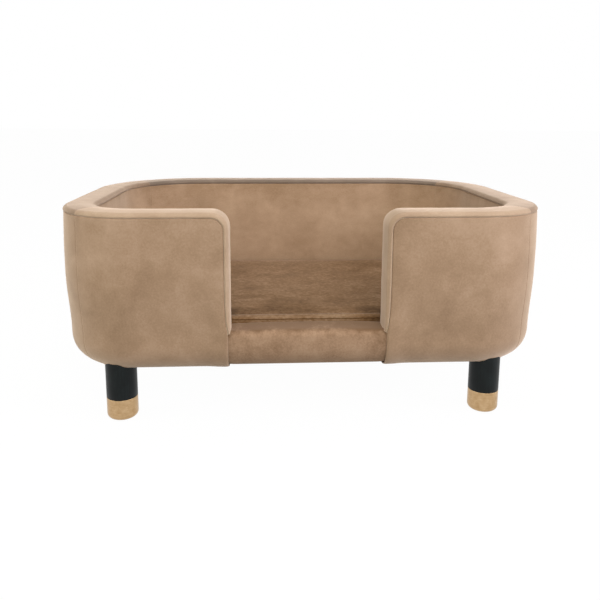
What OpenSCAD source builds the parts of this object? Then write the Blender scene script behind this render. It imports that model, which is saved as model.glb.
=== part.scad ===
/* [Tub] */
// Width of the tub, side to side
body_w = 800; // [700:10:1000]
// Depth of the tub, front to back
body_d = 540; // [500:10:700]
// Height of the rim above the floor
rim_h = 345; // [310:5:420]
// Height of the underside above the floor
under_h = 88; // [70:1:110]
// Outer radius of the two front corners
front_r = 128; // [120:1:150]
// Outer radius of the two rear corners
rear_r = 197; // [180:1:215]

/* [Lower edge] */
// How far the rounded lower edge reaches in under the tub
edge_w = 36; // [28:1:40]
// How far the rounded lower edge reaches up the wall
edge_h = 45; // [38:1:55]
// How far the wall leans in between its upper half and the lower edge
lean = 5; // [0:0.5:7]
// Height above the underside at which the wall starts to lean in
lean_h = 150; // [90:5:180]

/* [Wall layers] */
// Thickness of the velvet
velvet_t = 2; // [1.5:0.1:2.5]
// Thickness of the foam sheet on each face of the wall
foam_t = 9; // [7:0.5:12]
// Thickness of the hardboard skins
skin_t = 3; // [2:0.5:4]
// Width of the rails and posts between the skins
frame_t = 23.2; // [20:0.2:28]
// Play between two layers
layer_gap = 0.3; // [0.2:0.05:0.5]
// Thickness of the foot rail and of the rim rail
rail_t = 15; // [12:1:18]
// Width of a post
post_w = 20; // [15:1:30]

/* [Entrance] */
// Width of the entrance between the two wing seams
entrance_w = 260; // [220:5:340]
// Height of the sill's top above the floor
sill_h = 156; // [150:1:170]
// How much higher the sill's underside lies than the tub's
sill_lift = 3.5; // [2.5:0.1:5]
// How far the sill's face lies behind the wall's upper face
sill_back = 3; // [1:0.5:5]
// Radius of the sill's front top edge
sill_front_r = 10; // [6:1:16]
// Radius of the sill's rear top edge
sill_rear_r = 6; // [4:0.5:10]
// Radius of a wing's upper corner at the seam
wing_corner_r = 20; // [12:1:30]
// Thickness of the board that ends each wing
end_board_t = 18; // [12:1:24]

/* [Rim] */
// Height of the capping above its seam, and radius of its edges
cap_h = 8; // [6:0.5:11]

/* [Base] */
// Thickness of the ring under the base panel
ring_t = 10; // [9:1:16]
// Width of the ring under the base panel
ring_w = 70; // [60:5:80]
// How far the ring lies in from the outer face
ring_in = 43; // [42:1:50]
// Thickness of the base panel
base_t = 12; // [11:1:18]
// How far the base panel lies in from the outer face
base_in = 25; // [24:0.5:28]
// Width of the velvet folded under, from the outer face
hem_in = 80; // [76:1:90]
// How far the dust cover lies in from the outer face
dust_in = 72; // [71:1:74]
// Thickness of the dust cover and of the deck cloth
cloth_t = 0.8; // [0.5:0.1:1.2]

/* [Legs] */
// Diameter of a leg
leg_d = 50; // [40:1:52]
// How far in from the side the front legs stand
front_leg_side = 98; // [94:1:110]
// How far in from the front the front legs stand
front_leg_in = 46; // [44:1:50]
// How far in from the side the rear legs stand
rear_leg_side = 104; // [98:1:112]
// How far in from the back the rear legs stand
rear_leg_in = 73; // [70:1:80]
// Height of the top of a leg's tip above the floor
tip_h = 37; // [25:1:50]
// Radius of the lower edge of a tip
tip_edge_r = 8; // [4:1:10]
// Height of the solid foot of a tip
tip_foot_h = 12; // [9:1:16]
// Thickness of the tip's wall
tip_wall = 1.6; // [1:0.1:3]
// Diameter of a glide
glide_d = 24; // [18:1:28]
// Height of a glide
glide_h = 3.5; // [2.5:0.5:5]
// How far a glide stands out of its tip
glide_out = 1.5; // [1:0.5:2]
// Diameter of a leg bolt
bolt_d = 8; // [6:1:10]
// How deep a leg bolt sits in its leg
bolt_in = 38; // [25:1:45]
// Diameter of a tee nut's flange
nut_flange_d = 22; // [18:1:26]
// Thickness of a tee nut's flange
nut_flange_t = 1.5; // [1:0.1:2]
// Outer diameter of a tee nut's barrel
nut_barrel_d = 11; // [10.6:0.1:12]
// Play round bolts, nuts and spigots
fit_gap = 0.1; // [0.05:0.05:0.2]

/* [Cushion] */
// Play between the cushion and the walls
cushion_gap = 4; // [3:0.5:8]
// Height of the cushion's side, seam to seam
boxing_h = 44; // [42:1:46]
// Height of the crown above the upper seam
crown_h = 7; // [3:0.5:12]
// Distance from the edge over which the crown rises
crown_run = 70; // [50:5:120]
// How far the seams are drawn in from the side's middle
draw_in = 2; // [1:0.5:3]
// Thickness of the wadding round the foam core
wadding_t = 3.9; // [3.5:0.1:5]
// Length of the zip
zip_len = 400; // [280:10:400]
// Height of the gap in the cushion's side that shows the zip
zip_gap_h = 14; // [12:1:18]
// Width of each of the zip's two tapes
tape_w = 11; // [10:1:13]

/* [Hidden] */
$fn = 96;

half_w = body_w / 2;
half_d = body_d / 2;
// Overrun of a cut past the face that it opens
over = 1;
// Smallest corner radius that a drawn-in outline keeps
least_r = 5;

// Layers of the wall, as distances in from its outer face
foam_in = velvet_t + layer_gap;
skin_in = foam_in + foam_t + layer_gap;
frame_in = skin_in + skin_t + layer_gap;
wall_t = 2 * frame_in + frame_t;

// Levels above the floor
seam_z = rim_h - cap_h;
lean_z = under_h + lean_h;
ring_z = under_h + velvet_t;
base_z = ring_z + ring_t;
deck_z = base_z + base_t;
sill_under = under_h + sill_lift;
sill_rail_z = sill_h - foam_in - foam_t - layer_gap;

// Half the entrance: the plane of each wing's end
end_x = entrance_w / 2;
// Angle from the side at which the front seam crosses its corner
front_seam_angle = 47;
// Angle from the side at which the rear seam crosses its corner
rear_seam_angle = 40;
// The outer skin stops this share of the foot rail's height above the base
skin_lap_share = 0.5;
skin_z = deck_z + rail_t * skin_lap_share;
// Flat facets in each rounded stretch of an outline
edge_steps = 10;
round_steps = 6;

// Centres of the right-hand corners
front_c = [half_w - front_r, front_r - half_d, 0];
rear_c = [half_w - rear_r, half_d - rear_r, 0];

// Places along the walls that the posts take, as shares of half a straight wall
back_post_shares = [-0.7, 0, 0.7];
side_post_shares = [-0.6, 0.6];
// Angle that a corner post takes
corner_post_angle = 9;
// Angle at which a front corner's post stands
front_post_angle = -45;
// Angle at which a rear corner's post stands
rear_post_angle = 45;

// Screws that hold the foot rail to the base
screw_d = 4;
screw_head_d = 7.5;
screw_head_h = 2.5;
// How far a screw stops short of the foot rail's top
screw_short = 2;

// The cushion's sizes, as distances in from the tub's outer face
boxing_in = wall_t + cushion_gap;
top_in = boxing_in + draw_in;
wadding_in = boxing_in + velvet_t + draw_in + layer_gap;
core_in = wadding_in + wadding_t + layer_gap;
// The cushion's levels
cushion_z = deck_z + cloth_t + layer_gap;
boxing_z = cushion_z + velvet_t + layer_gap;
boxing_top = boxing_z + boxing_h;
top_z = boxing_top + layer_gap;
boxing_steps = 8;
// Curve of the crown: higher numbers rise faster at the edge
crown_power = 2.5;
// Rings of the crowned forms, as shares of the outline
ring_shares = [1, 0.975, 0.95, 0.91, 0.86, 0.79, 0.7, 0.56, 0.38, 0.2];
// Rings that the core shares with the panel above it
core_ring_shares = [0.95, 0.91, 0.86, 0.79, 0.7, 0.56, 0.38, 0.2];
// Points in each rounded corner of the cushion, and between corners
corner_steps = 6;
long_points = 5;
short_points = 2;

// The zip in the cushion's rear side
zip_z = boxing_z + boxing_h / 2;
tape_t = 0.8;
coil_w = 3;
coil_t = 2;
coil_gap = 1.6;
stop_len = 3;
tape_in = boxing_in + velvet_t + 1;
coil_in = tape_in + (tape_t - coil_t) / 2;
slider_len = 11;
slider_h = 9;
plate_t = 1.2;
web_t = 1;
lug_len = 5;
lug_h = 3;
lug_out = 0.9;
// How far the closed slider's middle lies from the end of the zip
slider_end = 10;
// The zip lies along the straight back and, where it is longer, on round the rear corners
zip_straight = min(zip_len, body_w - 2 * rear_r);
zip_r = rear_r - tape_in;
zip_turn = (zip_len - zip_straight) / 2 / zip_r * 180 / PI;

// Colours
velvet_c = "#AD8A68";
cushion_c = "#8A6748";
ply_c = "#D8B989";
timber_c = "#C9A36B";
hardboard_c = "#7A5537";
foam_c = "#EFE3B5";
wadding_c = "#F4F2EC";
cloth_c = "#2E2D2C";
black_c = "#1F2326";
gold_c = "#C8A468";
steel_c = "#B4B7BA";
tape_c = "#7C6149";

function flip(points) = [for (i = [len(points) - 1:-1:0]) points[i]];

// Quarter ellipse of a lower edge, drawn in by e, for a face at inset face and an underside at z
function edge_arc(e, face, z) = [
    for (i = [0:edge_steps]) let (a = 90 * i / edge_steps)
        [face + edge_w - (edge_w - e) * cos(a), z + edge_h - (edge_h - e) * sin(a)]
];

// Outer face of the wall, drawn in by e, from the seam under the capping to the underside
function wall_line(e) = concat([[e, seam_z], [e, lean_z]], edge_arc(e, lean, under_h));

function round_line(c, r, from, to) = [
    for (i = [0:round_steps]) let (a = from + (to - from) * i / round_steps)
        c + r * [cos(a), sin(a)]
];

// Outer face of the sill, drawn in by e, from the deck over the top to the underside
function sill_line(e) = concat(
    [[wall_t - e, deck_z]],
    round_line([wall_t - sill_rear_r, sill_h - sill_rear_r], sill_rear_r - e, 0, 90),
    round_line([sill_back + sill_front_r, sill_h - sill_front_r], sill_front_r - e, 90, 180),
    edge_arc(e, sill_back, sill_under)
);

// Step round the foot rail, the base panel and the ring, which the foam fills
function step_line(z) = [
    [ring_in - layer_gap, base_z - layer_gap], [base_in - layer_gap, base_z - layer_gap],
    [base_in - layer_gap, deck_z - layer_gap], [frame_in - layer_gap, deck_z - layer_gap],
    [frame_in - layer_gap, z]
];

// The tub's outline seen from above, drawn in by e
module outline(e) {
    fr = max(front_r - e, least_r);
    rr = max(rear_r - e, least_r);
    x = half_w - e;
    y = half_d - e;
    polygon([
        [x, fr - y], [x, y - rr], [x - rr, y], [rr - x, y],
        [-x, y - rr], [-x, fr - y], [fr - x, -y], [x - fr, -y]
    ]);
    for (s = [-1, 1]) {
        translate([s * (x - fr), fr - y]) circle(fr);
        translate([s * (x - rr), y - rr]) circle(rr);
    }
}

module sheet(e, z, t) translate([0, 0, z]) linear_extrude(t) outline(e);

// Carries a wall section round part of a corner, from one angle over the given sweep
module on_corner(c, r, from, sweep)
    translate(c) rotate([0, 0, from]) mirror([0, sweep < 0 ? 1 : 0, 0])
        rotate_extrude(angle = abs(sweep)) translate([r, 0]) mirror([1, 0]) children();

// Carries a wall section along the right wing, from x on, to the seam in the front corner
module on_wing(x) {
    translate([x, -half_d, 0]) rotate([90, 0, 90]) linear_extrude(half_w - front_r - x) children();
    on_corner(front_c, front_r, -90, 90 - front_seam_angle) children();
}

// Carries a wall section along the right side, between its two seams
module on_side() {
    on_corner(front_c, front_r, 0, -front_seam_angle) children();
    translate([half_w, half_d - rear_r, 0]) rotate([90, 0, 0])
        linear_extrude(body_d - rear_r - front_r) mirror([1, 0]) children();
    on_corner(rear_c, rear_r, 0, rear_seam_angle) children();
}

// Carries a wall section along the back, between its two seams
module on_back() {
    for (s = [0, 1]) mirror([s, 0, 0])
        on_corner(rear_c, rear_r, 90, rear_seam_angle - 90) children();
    translate([rear_r - half_w, half_d, 0]) rotate([90, 0, 90])
        linear_extrude(body_w - 2 * rear_r) mirror([1, 0]) children();
}

// Carries a section along the front, over the given length to each side of the middle
module on_front(half_len)
    translate([-half_len, -half_d, 0]) rotate([90, 0, 90]) linear_extrude(2 * half_len) children();

// Carries a section round the closed outline
module on_loop() {
    on_front(half_w - front_r) children();
    for (s = [0, 1]) mirror([s, 0, 0]) {
        on_corner(front_c, front_r, -90, 90) children();
        translate([half_w, half_d - rear_r, 0]) rotate([90, 0, 0])
            linear_extrude(body_d - rear_r - front_r) mirror([1, 0]) children();
        on_corner(rear_c, rear_r, 0, 90) children();
    }
    translate([rear_r - half_w, half_d, 0]) rotate([90, 0, 90])
        linear_extrude(body_w - 2 * rear_r) mirror([1, 0]) children();
}

// An upright layer all round the tub, between two distances in and two levels
module ring(in_a, in_b, z_a, z_b)
    difference() {
        sheet(in_a, z_a, z_b - z_a);
        sheet(in_b, z_a - over, z_b - z_a + 2 * over);
    }

// The same layer, open at the front between x and -x
module open_ring(in_a, in_b, z_a, z_b, x)
    difference() {
        ring(in_a, in_b, z_a, z_b);
        translate([-x, -half_d - over, z_a - over]) cube([2 * x, half_d, z_b - z_a + 2 * over]);
    }

// A flat layer of the wall, between two distances in and two levels
module layer(in_a, in_b, z_a, z_b) translate([in_a, z_a]) square([in_b - in_a, z_b - z_a]);

// What lies outside the rounded upper corner of the right wing
module wing_corner()
    difference() {
        translate([end_x - over, -half_d - over, seam_z - wing_corner_r])
            cube([wing_corner_r + over, wall_t + 2 * over, wing_corner_r + over]);
        translate([end_x + wing_corner_r, -half_d - 2 * over, seam_z - wing_corner_r])
            rotate([-90, 0, 0]) cylinder(r = wing_corner_r, h = wall_t + 4 * over);
    }

// The sill's whole section, grown by e, which the capping's lower ends fit
module sill_space(e)
    translate([-end_x - over, 0, 0]) rotate([90, 0, 90])
        linear_extrude(entrance_w + 2 * over) translate([-half_d, 0])
            polygon(concat(sill_line(-e), [[wall_t + e, sill_under - e]]));

leg_places = [
    [front_leg_side - half_w, front_leg_in - half_d], [half_w - front_leg_side, front_leg_in - half_d],
    [rear_leg_side - half_w, half_d - rear_leg_in], [half_w - rear_leg_side, half_d - rear_leg_in]
];

module at_legs() for (p = leg_places) translate([p.x, p.y, 0]) children();

// Room that the legs need in the soft layers and the ring
module leg_room() at_legs() cylinder(d = leg_d + 2 * layer_gap, h = base_z + layer_gap);

// Line of the screws, as a distance in from the outer face: the middle of what the base backs
screw_in = (base_in + frame_in + frame_t) / 2;
back_post_xs = back_post_shares * (half_w - rear_r);
side_mid = (front_r - rear_r) / 2;
side_post_ys = [for (s = side_post_shares) side_mid + s * (body_d - front_r - rear_r) / 2];

function corner_place(c, r, a) = [c.x + (r - screw_in) * cos(a), c.y + (r - screw_in) * sin(a)];

right_screws = concat(
    [for (y = side_post_ys) [half_w - screw_in, y]],
    [
        corner_place(front_c, front_r, front_post_angle), corner_place(rear_c, rear_r, rear_post_angle),
        [end_x + 2 * end_board_t, screw_in - half_d]
    ]
);
screw_places = concat(
    right_screws, [for (p = right_screws) [-p.x, p.y]],
    [for (x = back_post_xs) [x, half_d - screw_in]]
);

// A screw's shape, grown by e, with its head's flat face at z
module screw(z, e) {
    translate([0, 0, z]) cylinder(d1 = screw_head_d + 2 * e, d2 = screw_d + 2 * e, h = screw_head_h);
    translate([0, 0, z]) cylinder(d = screw_d + 2 * e, h = base_t + rail_t - screw_short + e);
}

module at_screws() for (p = screw_places) translate([p.x, p.y, 0]) children();

module base_panel()
    color(ply_c) difference() {
        sheet(base_in, base_z, base_t);
        at_legs() {
            translate([0, 0, base_z - over])
                cylinder(d = nut_barrel_d + 2 * fit_gap, h = base_t + 2 * over);
            translate([0, 0, deck_z - nut_flange_t])
                cylinder(d = nut_flange_d + 2 * fit_gap, h = nut_flange_t + over);
        }
        at_screws() screw(base_z, fit_gap);
    }

module base_ring()
    color(ply_c) difference() {
        ring(ring_in, ring_in + ring_w, ring_z, base_z);
        leg_room();
    }

module foot_rail()
    color(ply_c) difference() {
        open_ring(frame_in, frame_in + frame_t, deck_z, deck_z + rail_t, end_x + end_board_t);
        at_screws() screw(base_z, fit_gap);
    }

module rim_rail()
    color(ply_c)
        open_ring(frame_in, frame_in + frame_t, seam_z - rail_t, seam_z, end_x + end_board_t);

post_z = deck_z + rail_t;
post_h = seam_z - rail_t - post_z;

module back_posts()
    color(timber_c) for (x = back_post_xs)
        translate([x - post_w / 2, half_d - frame_in - frame_t, post_z]) cube([post_w, frame_t, post_h]);

module side_posts()
    color(timber_c) for (s = [0, 1], y = side_post_ys)
        mirror([s, 0, 0]) translate([half_w - frame_in - frame_t, y - post_w / 2, post_z])
            cube([frame_t, post_w, post_h]);

module corner_posts()
    color(timber_c) for (s = [0, 1]) mirror([s, 0, 0]) {
        on_corner(front_c, front_r, front_post_angle - corner_post_angle / 2, corner_post_angle)
            layer(frame_in, frame_in + frame_t, post_z, post_z + post_h);
        on_corner(rear_c, rear_r, rear_post_angle - corner_post_angle / 2, corner_post_angle)
            layer(frame_in, frame_in + frame_t, post_z, post_z + post_h);
    }

module end_board()
    color(ply_c) difference() {
        translate([end_x, frame_in - half_d, deck_z]) cube([end_board_t, frame_t, seam_z - deck_z]);
        wing_corner();
    }

module end_board_right() end_board();
module end_board_left() mirror([1, 0, 0]) end_board();

module wall_skin(in_a, z_a)
    color(hardboard_c) difference() {
        open_ring(in_a, in_a + skin_t, z_a, seam_z, end_x);
        for (s = [0, 1]) mirror([s, 0, 0]) wing_corner();
    }

module outer_skin() wall_skin(skin_in, skin_z);
module inner_skin() wall_skin(wall_t - skin_in - skin_t, deck_z);

module sill_rail()
    color(timber_c) translate([-end_x, frame_in - half_d, deck_z])
        cube([entrance_w, frame_t, sill_rail_z - deck_z]);

module frame_screws() color(steel_c) at_screws() screw(base_z, 0);

nut_z = base_z + bolt_d / 4;

module tee_nuts()
    color(steel_c) at_legs() difference() {
        union() {
            translate([0, 0, nut_z]) cylinder(d = nut_barrel_d, h = deck_z - nut_z);
            translate([0, 0, deck_z - nut_flange_t]) cylinder(d = nut_flange_d, h = nut_flange_t);
        }
        translate([0, 0, nut_z - over])
            cylinder(d = bolt_d + 2 * fit_gap, h = deck_z - nut_z + 2 * over);
    }

module leg_bolts()
    color(steel_c) at_legs() translate([0, 0, base_z - bolt_in])
        cylinder(d = bolt_d, h = bolt_in + base_t - nut_flange_t);

module outer_foam_section()
    polygon(concat(
        flip(wall_line(foam_in)),
        [[skin_in - layer_gap, seam_z], [skin_in - layer_gap, skin_z - layer_gap]],
        flip(step_line(skin_z - layer_gap)),
        [[ring_in - layer_gap, under_h + foam_in]]
    ));

module outer_foam_right()
    color(foam_c) difference() {
        union() {
            on_wing(end_x) outer_foam_section();
            on_side() outer_foam_section();
        }
        wing_corner();
        leg_room();
    }

module outer_foam_left() mirror([1, 0, 0]) outer_foam_right();

module outer_foam_back()
    color(foam_c) difference() {
        on_back() outer_foam_section();
        leg_room();
    }

module inner_foam_section() layer(wall_t - foam_in - foam_t, wall_t - foam_in, deck_z, seam_z);

module inner_foam_right()
    color(foam_c) difference() {
        union() {
            on_wing(end_x) inner_foam_section();
            on_side() inner_foam_section();
        }
        wing_corner();
    }

module inner_foam_left() mirror([1, 0, 0]) inner_foam_right();
module inner_foam_back() color(foam_c) on_back() inner_foam_section();

// Outer face of the capping, drawn in by e, over the wall's whole width
function cap_line(e) = concat(
    round_line([cap_h, 0], cap_h - e, 180, 90), round_line([wall_t - cap_h, 0], cap_h - e, 90, 0)
);

// The capping ends this share of the sill's front radius below the sill's top
cap_end_share = 0.5;
cap_end_z = sill_h - sill_front_r * cap_end_share;

module cap_velvet() polygon(concat(cap_line(0), flip(cap_line(velvet_t))));
module cap_pad() polygon(cap_line(foam_in));

// Carries the capping's section over the right wing: its top, its corner and down its end
module on_wing_top() {
    on_wing(end_x + wing_corner_r) translate([0, seam_z]) children();
    translate([end_x + wing_corner_r, -half_d, seam_z - wing_corner_r]) rotate([-90, 0, 0])
        rotate([0, 0, 180]) rotate_extrude(angle = 90)
            translate([wing_corner_r, 0]) mirror([1, -1]) children();
    difference() {
        translate([end_x, -half_d, cap_end_z])
            linear_extrude(seam_z - wing_corner_r - cap_end_z) rotate(90) children();
        sill_space(layer_gap);
    }
}

module rim_pad_right()
    color(foam_c) {
        on_wing_top() cap_pad();
        on_side() translate([0, seam_z]) cap_pad();
    }

module rim_pad_left() mirror([1, 0, 0]) rim_pad_right();
module rim_pad_back() color(foam_c) on_back() translate([0, seam_z]) cap_pad();

module cap_wing_right() color(velvet_c) on_wing_top() cap_velvet();
module cap_wing_left() mirror([1, 0, 0]) cap_wing_right();
module cap_side_right() color(velvet_c) on_side() translate([0, seam_z]) cap_velvet();
module cap_side_left() mirror([1, 0, 0]) cap_side_right();
module cap_back() color(velvet_c) on_back() translate([0, seam_z]) cap_velvet();

module cover_section()
    polygon(concat(
        wall_line(0), [[hem_in, under_h], [hem_in, under_h + velvet_t]], flip(wall_line(velvet_t))
    ));

module cover_wing_right()
    color(velvet_c) difference() {
        on_wing(end_x) cover_section();
        wing_corner();
        leg_room();
    }

module cover_wing_left() mirror([1, 0, 0]) cover_wing_right();

module cover_side_right()
    color(velvet_c) difference() {
        on_side() cover_section();
        leg_room();
    }

module cover_side_left() mirror([1, 0, 0]) cover_side_right();

module cover_back()
    color(velvet_c) difference() {
        on_back() cover_section();
        leg_room();
    }

module lining_section() layer(wall_t - velvet_t, wall_t, deck_z, seam_z);

module lining_wing_right()
    color(velvet_c) difference() {
        on_wing(end_x) lining_section();
        wing_corner();
    }

module lining_wing_left() mirror([1, 0, 0]) lining_wing_right();
module lining_side_right() color(velvet_c) on_side() lining_section();
module lining_side_left() mirror([1, 0, 0]) lining_side_right();
module lining_back() color(velvet_c) on_back() lining_section();

module sill_foam()
    color(foam_c) on_front(end_x)
        polygon(concat(
            sill_line(foam_in),
            [[ring_in - layer_gap, sill_under + foam_in]],
            step_line(sill_rail_z + layer_gap),
            [
                [frame_in + frame_t + layer_gap, sill_rail_z + layer_gap],
                [frame_in + frame_t + layer_gap, deck_z]
            ]
        ));

// The sill's velvet steps down beside the ring and is folded under it
module sill_cover()
    color(velvet_c) on_front(end_x)
        polygon(concat(
            sill_line(0),
            [
                [ring_in - layer_gap - velvet_t, sill_under], [ring_in - layer_gap - velvet_t, under_h],
                [hem_in, under_h], [hem_in, ring_z],
                [ring_in - layer_gap, ring_z], [ring_in - layer_gap, sill_under + velvet_t]
            ],
            flip(sill_line(velvet_t))
        ));

module deck_cloth() color(cloth_c) sheet(wall_t + layer_gap, deck_z, cloth_t);
module dust_cover() color(cloth_c) sheet(dust_in, under_h - cloth_t, cloth_t);

leg_tip_in = leg_d / 2 - tip_wall;

// A leg's turned shaft, with the spigot that the tip slides on and the blind hole for the bolt
module leg(p)
    color(black_c) translate([p.x, p.y, 0]) difference() {
        union() {
            translate([0, 0, tip_h]) cylinder(d = leg_d, h = base_z - tip_h);
            translate([0, 0, tip_foot_h]) cylinder(r = leg_tip_in - fit_gap, h = tip_h - tip_foot_h + over);
        }
        translate([0, 0, base_z - bolt_in]) cylinder(d = bolt_d + 2 * fit_gap, h = bolt_in + over);
    }

module leg_front_left() leg(leg_places[0]);
module leg_front_right() leg(leg_places[1]);
module leg_rear_left() leg(leg_places[2]);
module leg_rear_right() leg(leg_places[3]);

module tip(p)
    color(gold_c) translate([p.x, p.y, 0]) difference() {
        rotate_extrude() {
            translate([0, glide_out]) square([leg_d / 2 - tip_edge_r, tip_edge_r]);
            translate([0, glide_out + tip_edge_r]) square([leg_d / 2, tip_h - glide_out - tip_edge_r]);
            translate([leg_d / 2 - tip_edge_r, glide_out + tip_edge_r]) intersection() {
                circle(tip_edge_r);
                translate([0, -tip_edge_r]) square(tip_edge_r);
            }
        }
        translate([0, 0, tip_foot_h]) cylinder(r = leg_tip_in, h = tip_h);
        cylinder(d = glide_d + 2 * fit_gap, h = glide_h);
    }

module tip_front_left() tip(leg_places[0]);
module tip_front_right() tip(leg_places[1]);
module tip_rear_left() tip(leg_places[2]);
module tip_rear_right() tip(leg_places[3]);

module glides() color(cloth_c) at_legs() cylinder(d = glide_d, h = glide_h);

// Distance of a point of the cushion's top from the top's edge
function edge_dist(p) = let (
    r = p.y > 0 ? rear_r : front_r,
    x = abs(p.x) - half_w + r,
    y = abs(p.y) - half_d + r
) (x > 0 && y > 0) ? r - top_in - norm([x, y]) : r - top_in - max(x, y);

function crown_z(p) = top_z + velvet_t
    + crown_h * (1 - pow(1 - min(max(edge_dist(p), 0) / crown_run, 1), crown_power));

function between(a, b, n) = [for (i = [1:n]) a + (b - a) * i / (n + 1)];

function corner_line(c, r, from) = [
    for (i = [0:corner_steps]) let (a = from + 90 * i / corner_steps) c + r * [cos(a), sin(a)]
];

// Points round the cushion's outline, drawn in by e, as seen from above
function cushion_line(e) = let (
    x = half_w - e,
    y = half_d - e,
    f = front_r - e,
    r = rear_r - e
) concat(
    corner_line([x - f, f - y], f, -90), between([x, f - y], [x, y - r], short_points),
    corner_line([x - r, y - r], r, 0), between([x - r, y], [r - x, y], long_points),
    corner_line([r - x, y - r], r, 90), between([-x, y - r], [-x, f - y], short_points),
    corner_line([f - x, f - y], f, 180), between([f - x, -y], [x - f, -y], long_points)
);

function raised(line, share, drop) = [
    for (p = line) [share * p.x, share * p.y, crown_z(share * p) - drop]
];

// Triangles between ring a and ring a + 1 of n points each
function band(a, n) = [
    for (i = [0:n - 1]) let (
        p = a * n + i, q = a * n + (i + 1) % n, s = (a + 1) * n + i, t = (a + 1) * n + (i + 1) % n
    ) each [[p, q, t], [p, t, s]]
];

// Triangles from ring a to the point at index c
function fan(a, n, c, down) = [
    for (i = [0:n - 1]) down ? [a * n + i, a * n + (i + 1) % n, c] : [a * n + (i + 1) % n, a * n + i, c]
];

// The crowned upper panel: rings down the upper face, then rings back out under it
module cushion_top() {
    line = cushion_line(top_in);
    n = len(line);
    k = len(ring_shares);
    above = [for (s = flip(ring_shares)) each raised(line, s, 0)];
    below = [for (s = ring_shares) each raised(line, s, velvet_t)];
    middle = [0, 0, crown_z([0, 0])];
    color(cushion_c) polyhedron(
        concat(above, below, [middle, middle - [0, 0, velvet_t]]),
        concat(
            fan(0, n, 2 * k * n, false),
            [for (a = [0:2 * k - 2]) each band(a, n)],
            fan(2 * k - 1, n, 2 * k * n + 1, true)
        )
    );
}

// The foam core: crowned above, flat below
module cushion_core() {
    line = cushion_line(top_in);
    edge = cushion_line(core_in);
    n = len(line);
    k = len(core_ring_shares);
    drop = velvet_t + layer_gap;
    above = [for (s = flip(core_ring_shares)) each raised(line, s, drop)];
    rim = [for (p = edge) [p.x, p.y, crown_z(p) - drop]];
    foot = [for (p = edge) [p.x, p.y, boxing_z]];
    middle = [0, 0, crown_z([0, 0]) - drop];
    color(foam_c) polyhedron(
        concat(above, rim, foot, [middle, [0, 0, boxing_z]]),
        concat(
            fan(0, n, (k + 2) * n, false),
            [for (a = [0:k]) each band(a, n)],
            fan(k + 1, n, (k + 2) * n + 1, true)
        )
    );
}

// Carries a wall section along the zip
module on_zip() {
    translate([-zip_straight / 2, half_d, 0]) rotate([90, 0, 90])
        linear_extrude(zip_straight) mirror([1, 0]) children();
    if (zip_turn > 0)
        for (s = [0, 1]) mirror([s, 0, 0]) on_corner(rear_c, rear_r, 90, -zip_turn) children();
}

// Carries a piece that is drawn at the middle of the back to the given distance along the zip
module at_zip(d) {
    past = max(abs(d) - zip_straight / 2, 0);
    c = [sign(d) * zip_straight / 2, half_d - rear_r, 0];
    translate(c) rotate(-sign(d) * past / zip_r * 180 / PI) translate(-c)
        translate([d - sign(d) * past, 0, 0]) children();
}

// Opening along the zip, between two distances in from the tub's outer face
module zip_space(in_a, in_b, h) on_zip() layer(in_a, in_b, zip_z - h / 2, zip_z + h / 2);

function boxing_line(e) = [
    for (i = [0:boxing_steps]) let (s = i / boxing_steps)
        [boxing_in + draw_in * pow(2 * s - 1, 2) + e, boxing_z + boxing_h * s]
];

module cushion_boxing()
    color(cushion_c) difference() {
        on_loop() polygon(concat(boxing_line(0), flip(boxing_line(velvet_t))));
        zip_space(boxing_in - over, boxing_in + velvet_t + draw_in, zip_gap_h);
    }

module cushion_wadding()
    color(wadding_c) difference() {
        ring(wadding_in, wadding_in + wadding_t, boxing_z, boxing_top);
        zip_space(wadding_in - over, wadding_in + wadding_t + over, zip_gap_h + tape_w);
    }

module cushion_bottom() color(cushion_c) sheet(top_in, cushion_z, velvet_t);

// A block on the zip's middle, between two distances in
module zip_block(len, h, in_a, in_b)
    translate([-len / 2, half_d - in_b, zip_z - h / 2]) cube([len, in_b - in_a, h]);

module zip_tape()
    color(tape_c) {
        for (s = [0, 1]) translate([0, 0, zip_z]) mirror([0, 0, s]) {
            on_zip() layer(tape_in, tape_in + tape_t, (coil_gap + coil_w) / 2, coil_gap / 2 + tape_w);
            on_zip() layer(coil_in, coil_in + coil_t, coil_gap / 2, coil_gap / 2 + coil_w);
        }
        for (s = [-1, 1]) at_zip(s * (zip_len - stop_len) / 2)
            zip_block(stop_len, coil_gap + coil_w, coil_in, coil_in + coil_t);
    }

module zip_slider() {
    front = coil_in - layer_gap;
    back = coil_in + coil_t + layer_gap;
    color(steel_c) at_zip(slider_end - zip_len / 2) {
        zip_block(slider_len, slider_h, front - plate_t, front);
        zip_block(slider_len, slider_h, back, back + plate_t);
        zip_block(slider_len, web_t, front - plate_t / 2, back + plate_t / 2);
        zip_block(lug_len, lug_h, front - plate_t - lug_out, front);
    }
}

base_panel();
base_ring();
foot_rail();
rim_rail();
back_posts();
corner_posts();
side_posts();
end_board_left();
end_board_right();
outer_skin();
inner_skin();
sill_rail();
frame_screws();
tee_nuts();
leg_bolts();
outer_foam_left();
outer_foam_back();
outer_foam_right();
inner_foam_left();
inner_foam_back();
inner_foam_right();
rim_pad_left();
rim_pad_back();
rim_pad_right();
sill_foam();
cover_wing_left();
cover_side_left();
cover_back();
cover_side_right();
cover_wing_right();
sill_cover();
lining_wing_left();
lining_side_left();
lining_back();
lining_side_right();
lining_wing_right();
cap_wing_left();
cap_side_left();
cap_back();
cap_side_right();
cap_wing_right();
deck_cloth();
dust_cover();
leg_front_left();
leg_front_right();
leg_rear_left();
leg_rear_right();
tip_front_left();
tip_front_right();
tip_rear_left();
tip_rear_right();
glides();
cushion_core();
cushion_wadding();
cushion_top();
cushion_boxing();
cushion_bottom();
zip_tape();
zip_slider();
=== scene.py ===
import bpy
import bmesh
import math
from mathutils import Matrix, Vector, noise


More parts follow.
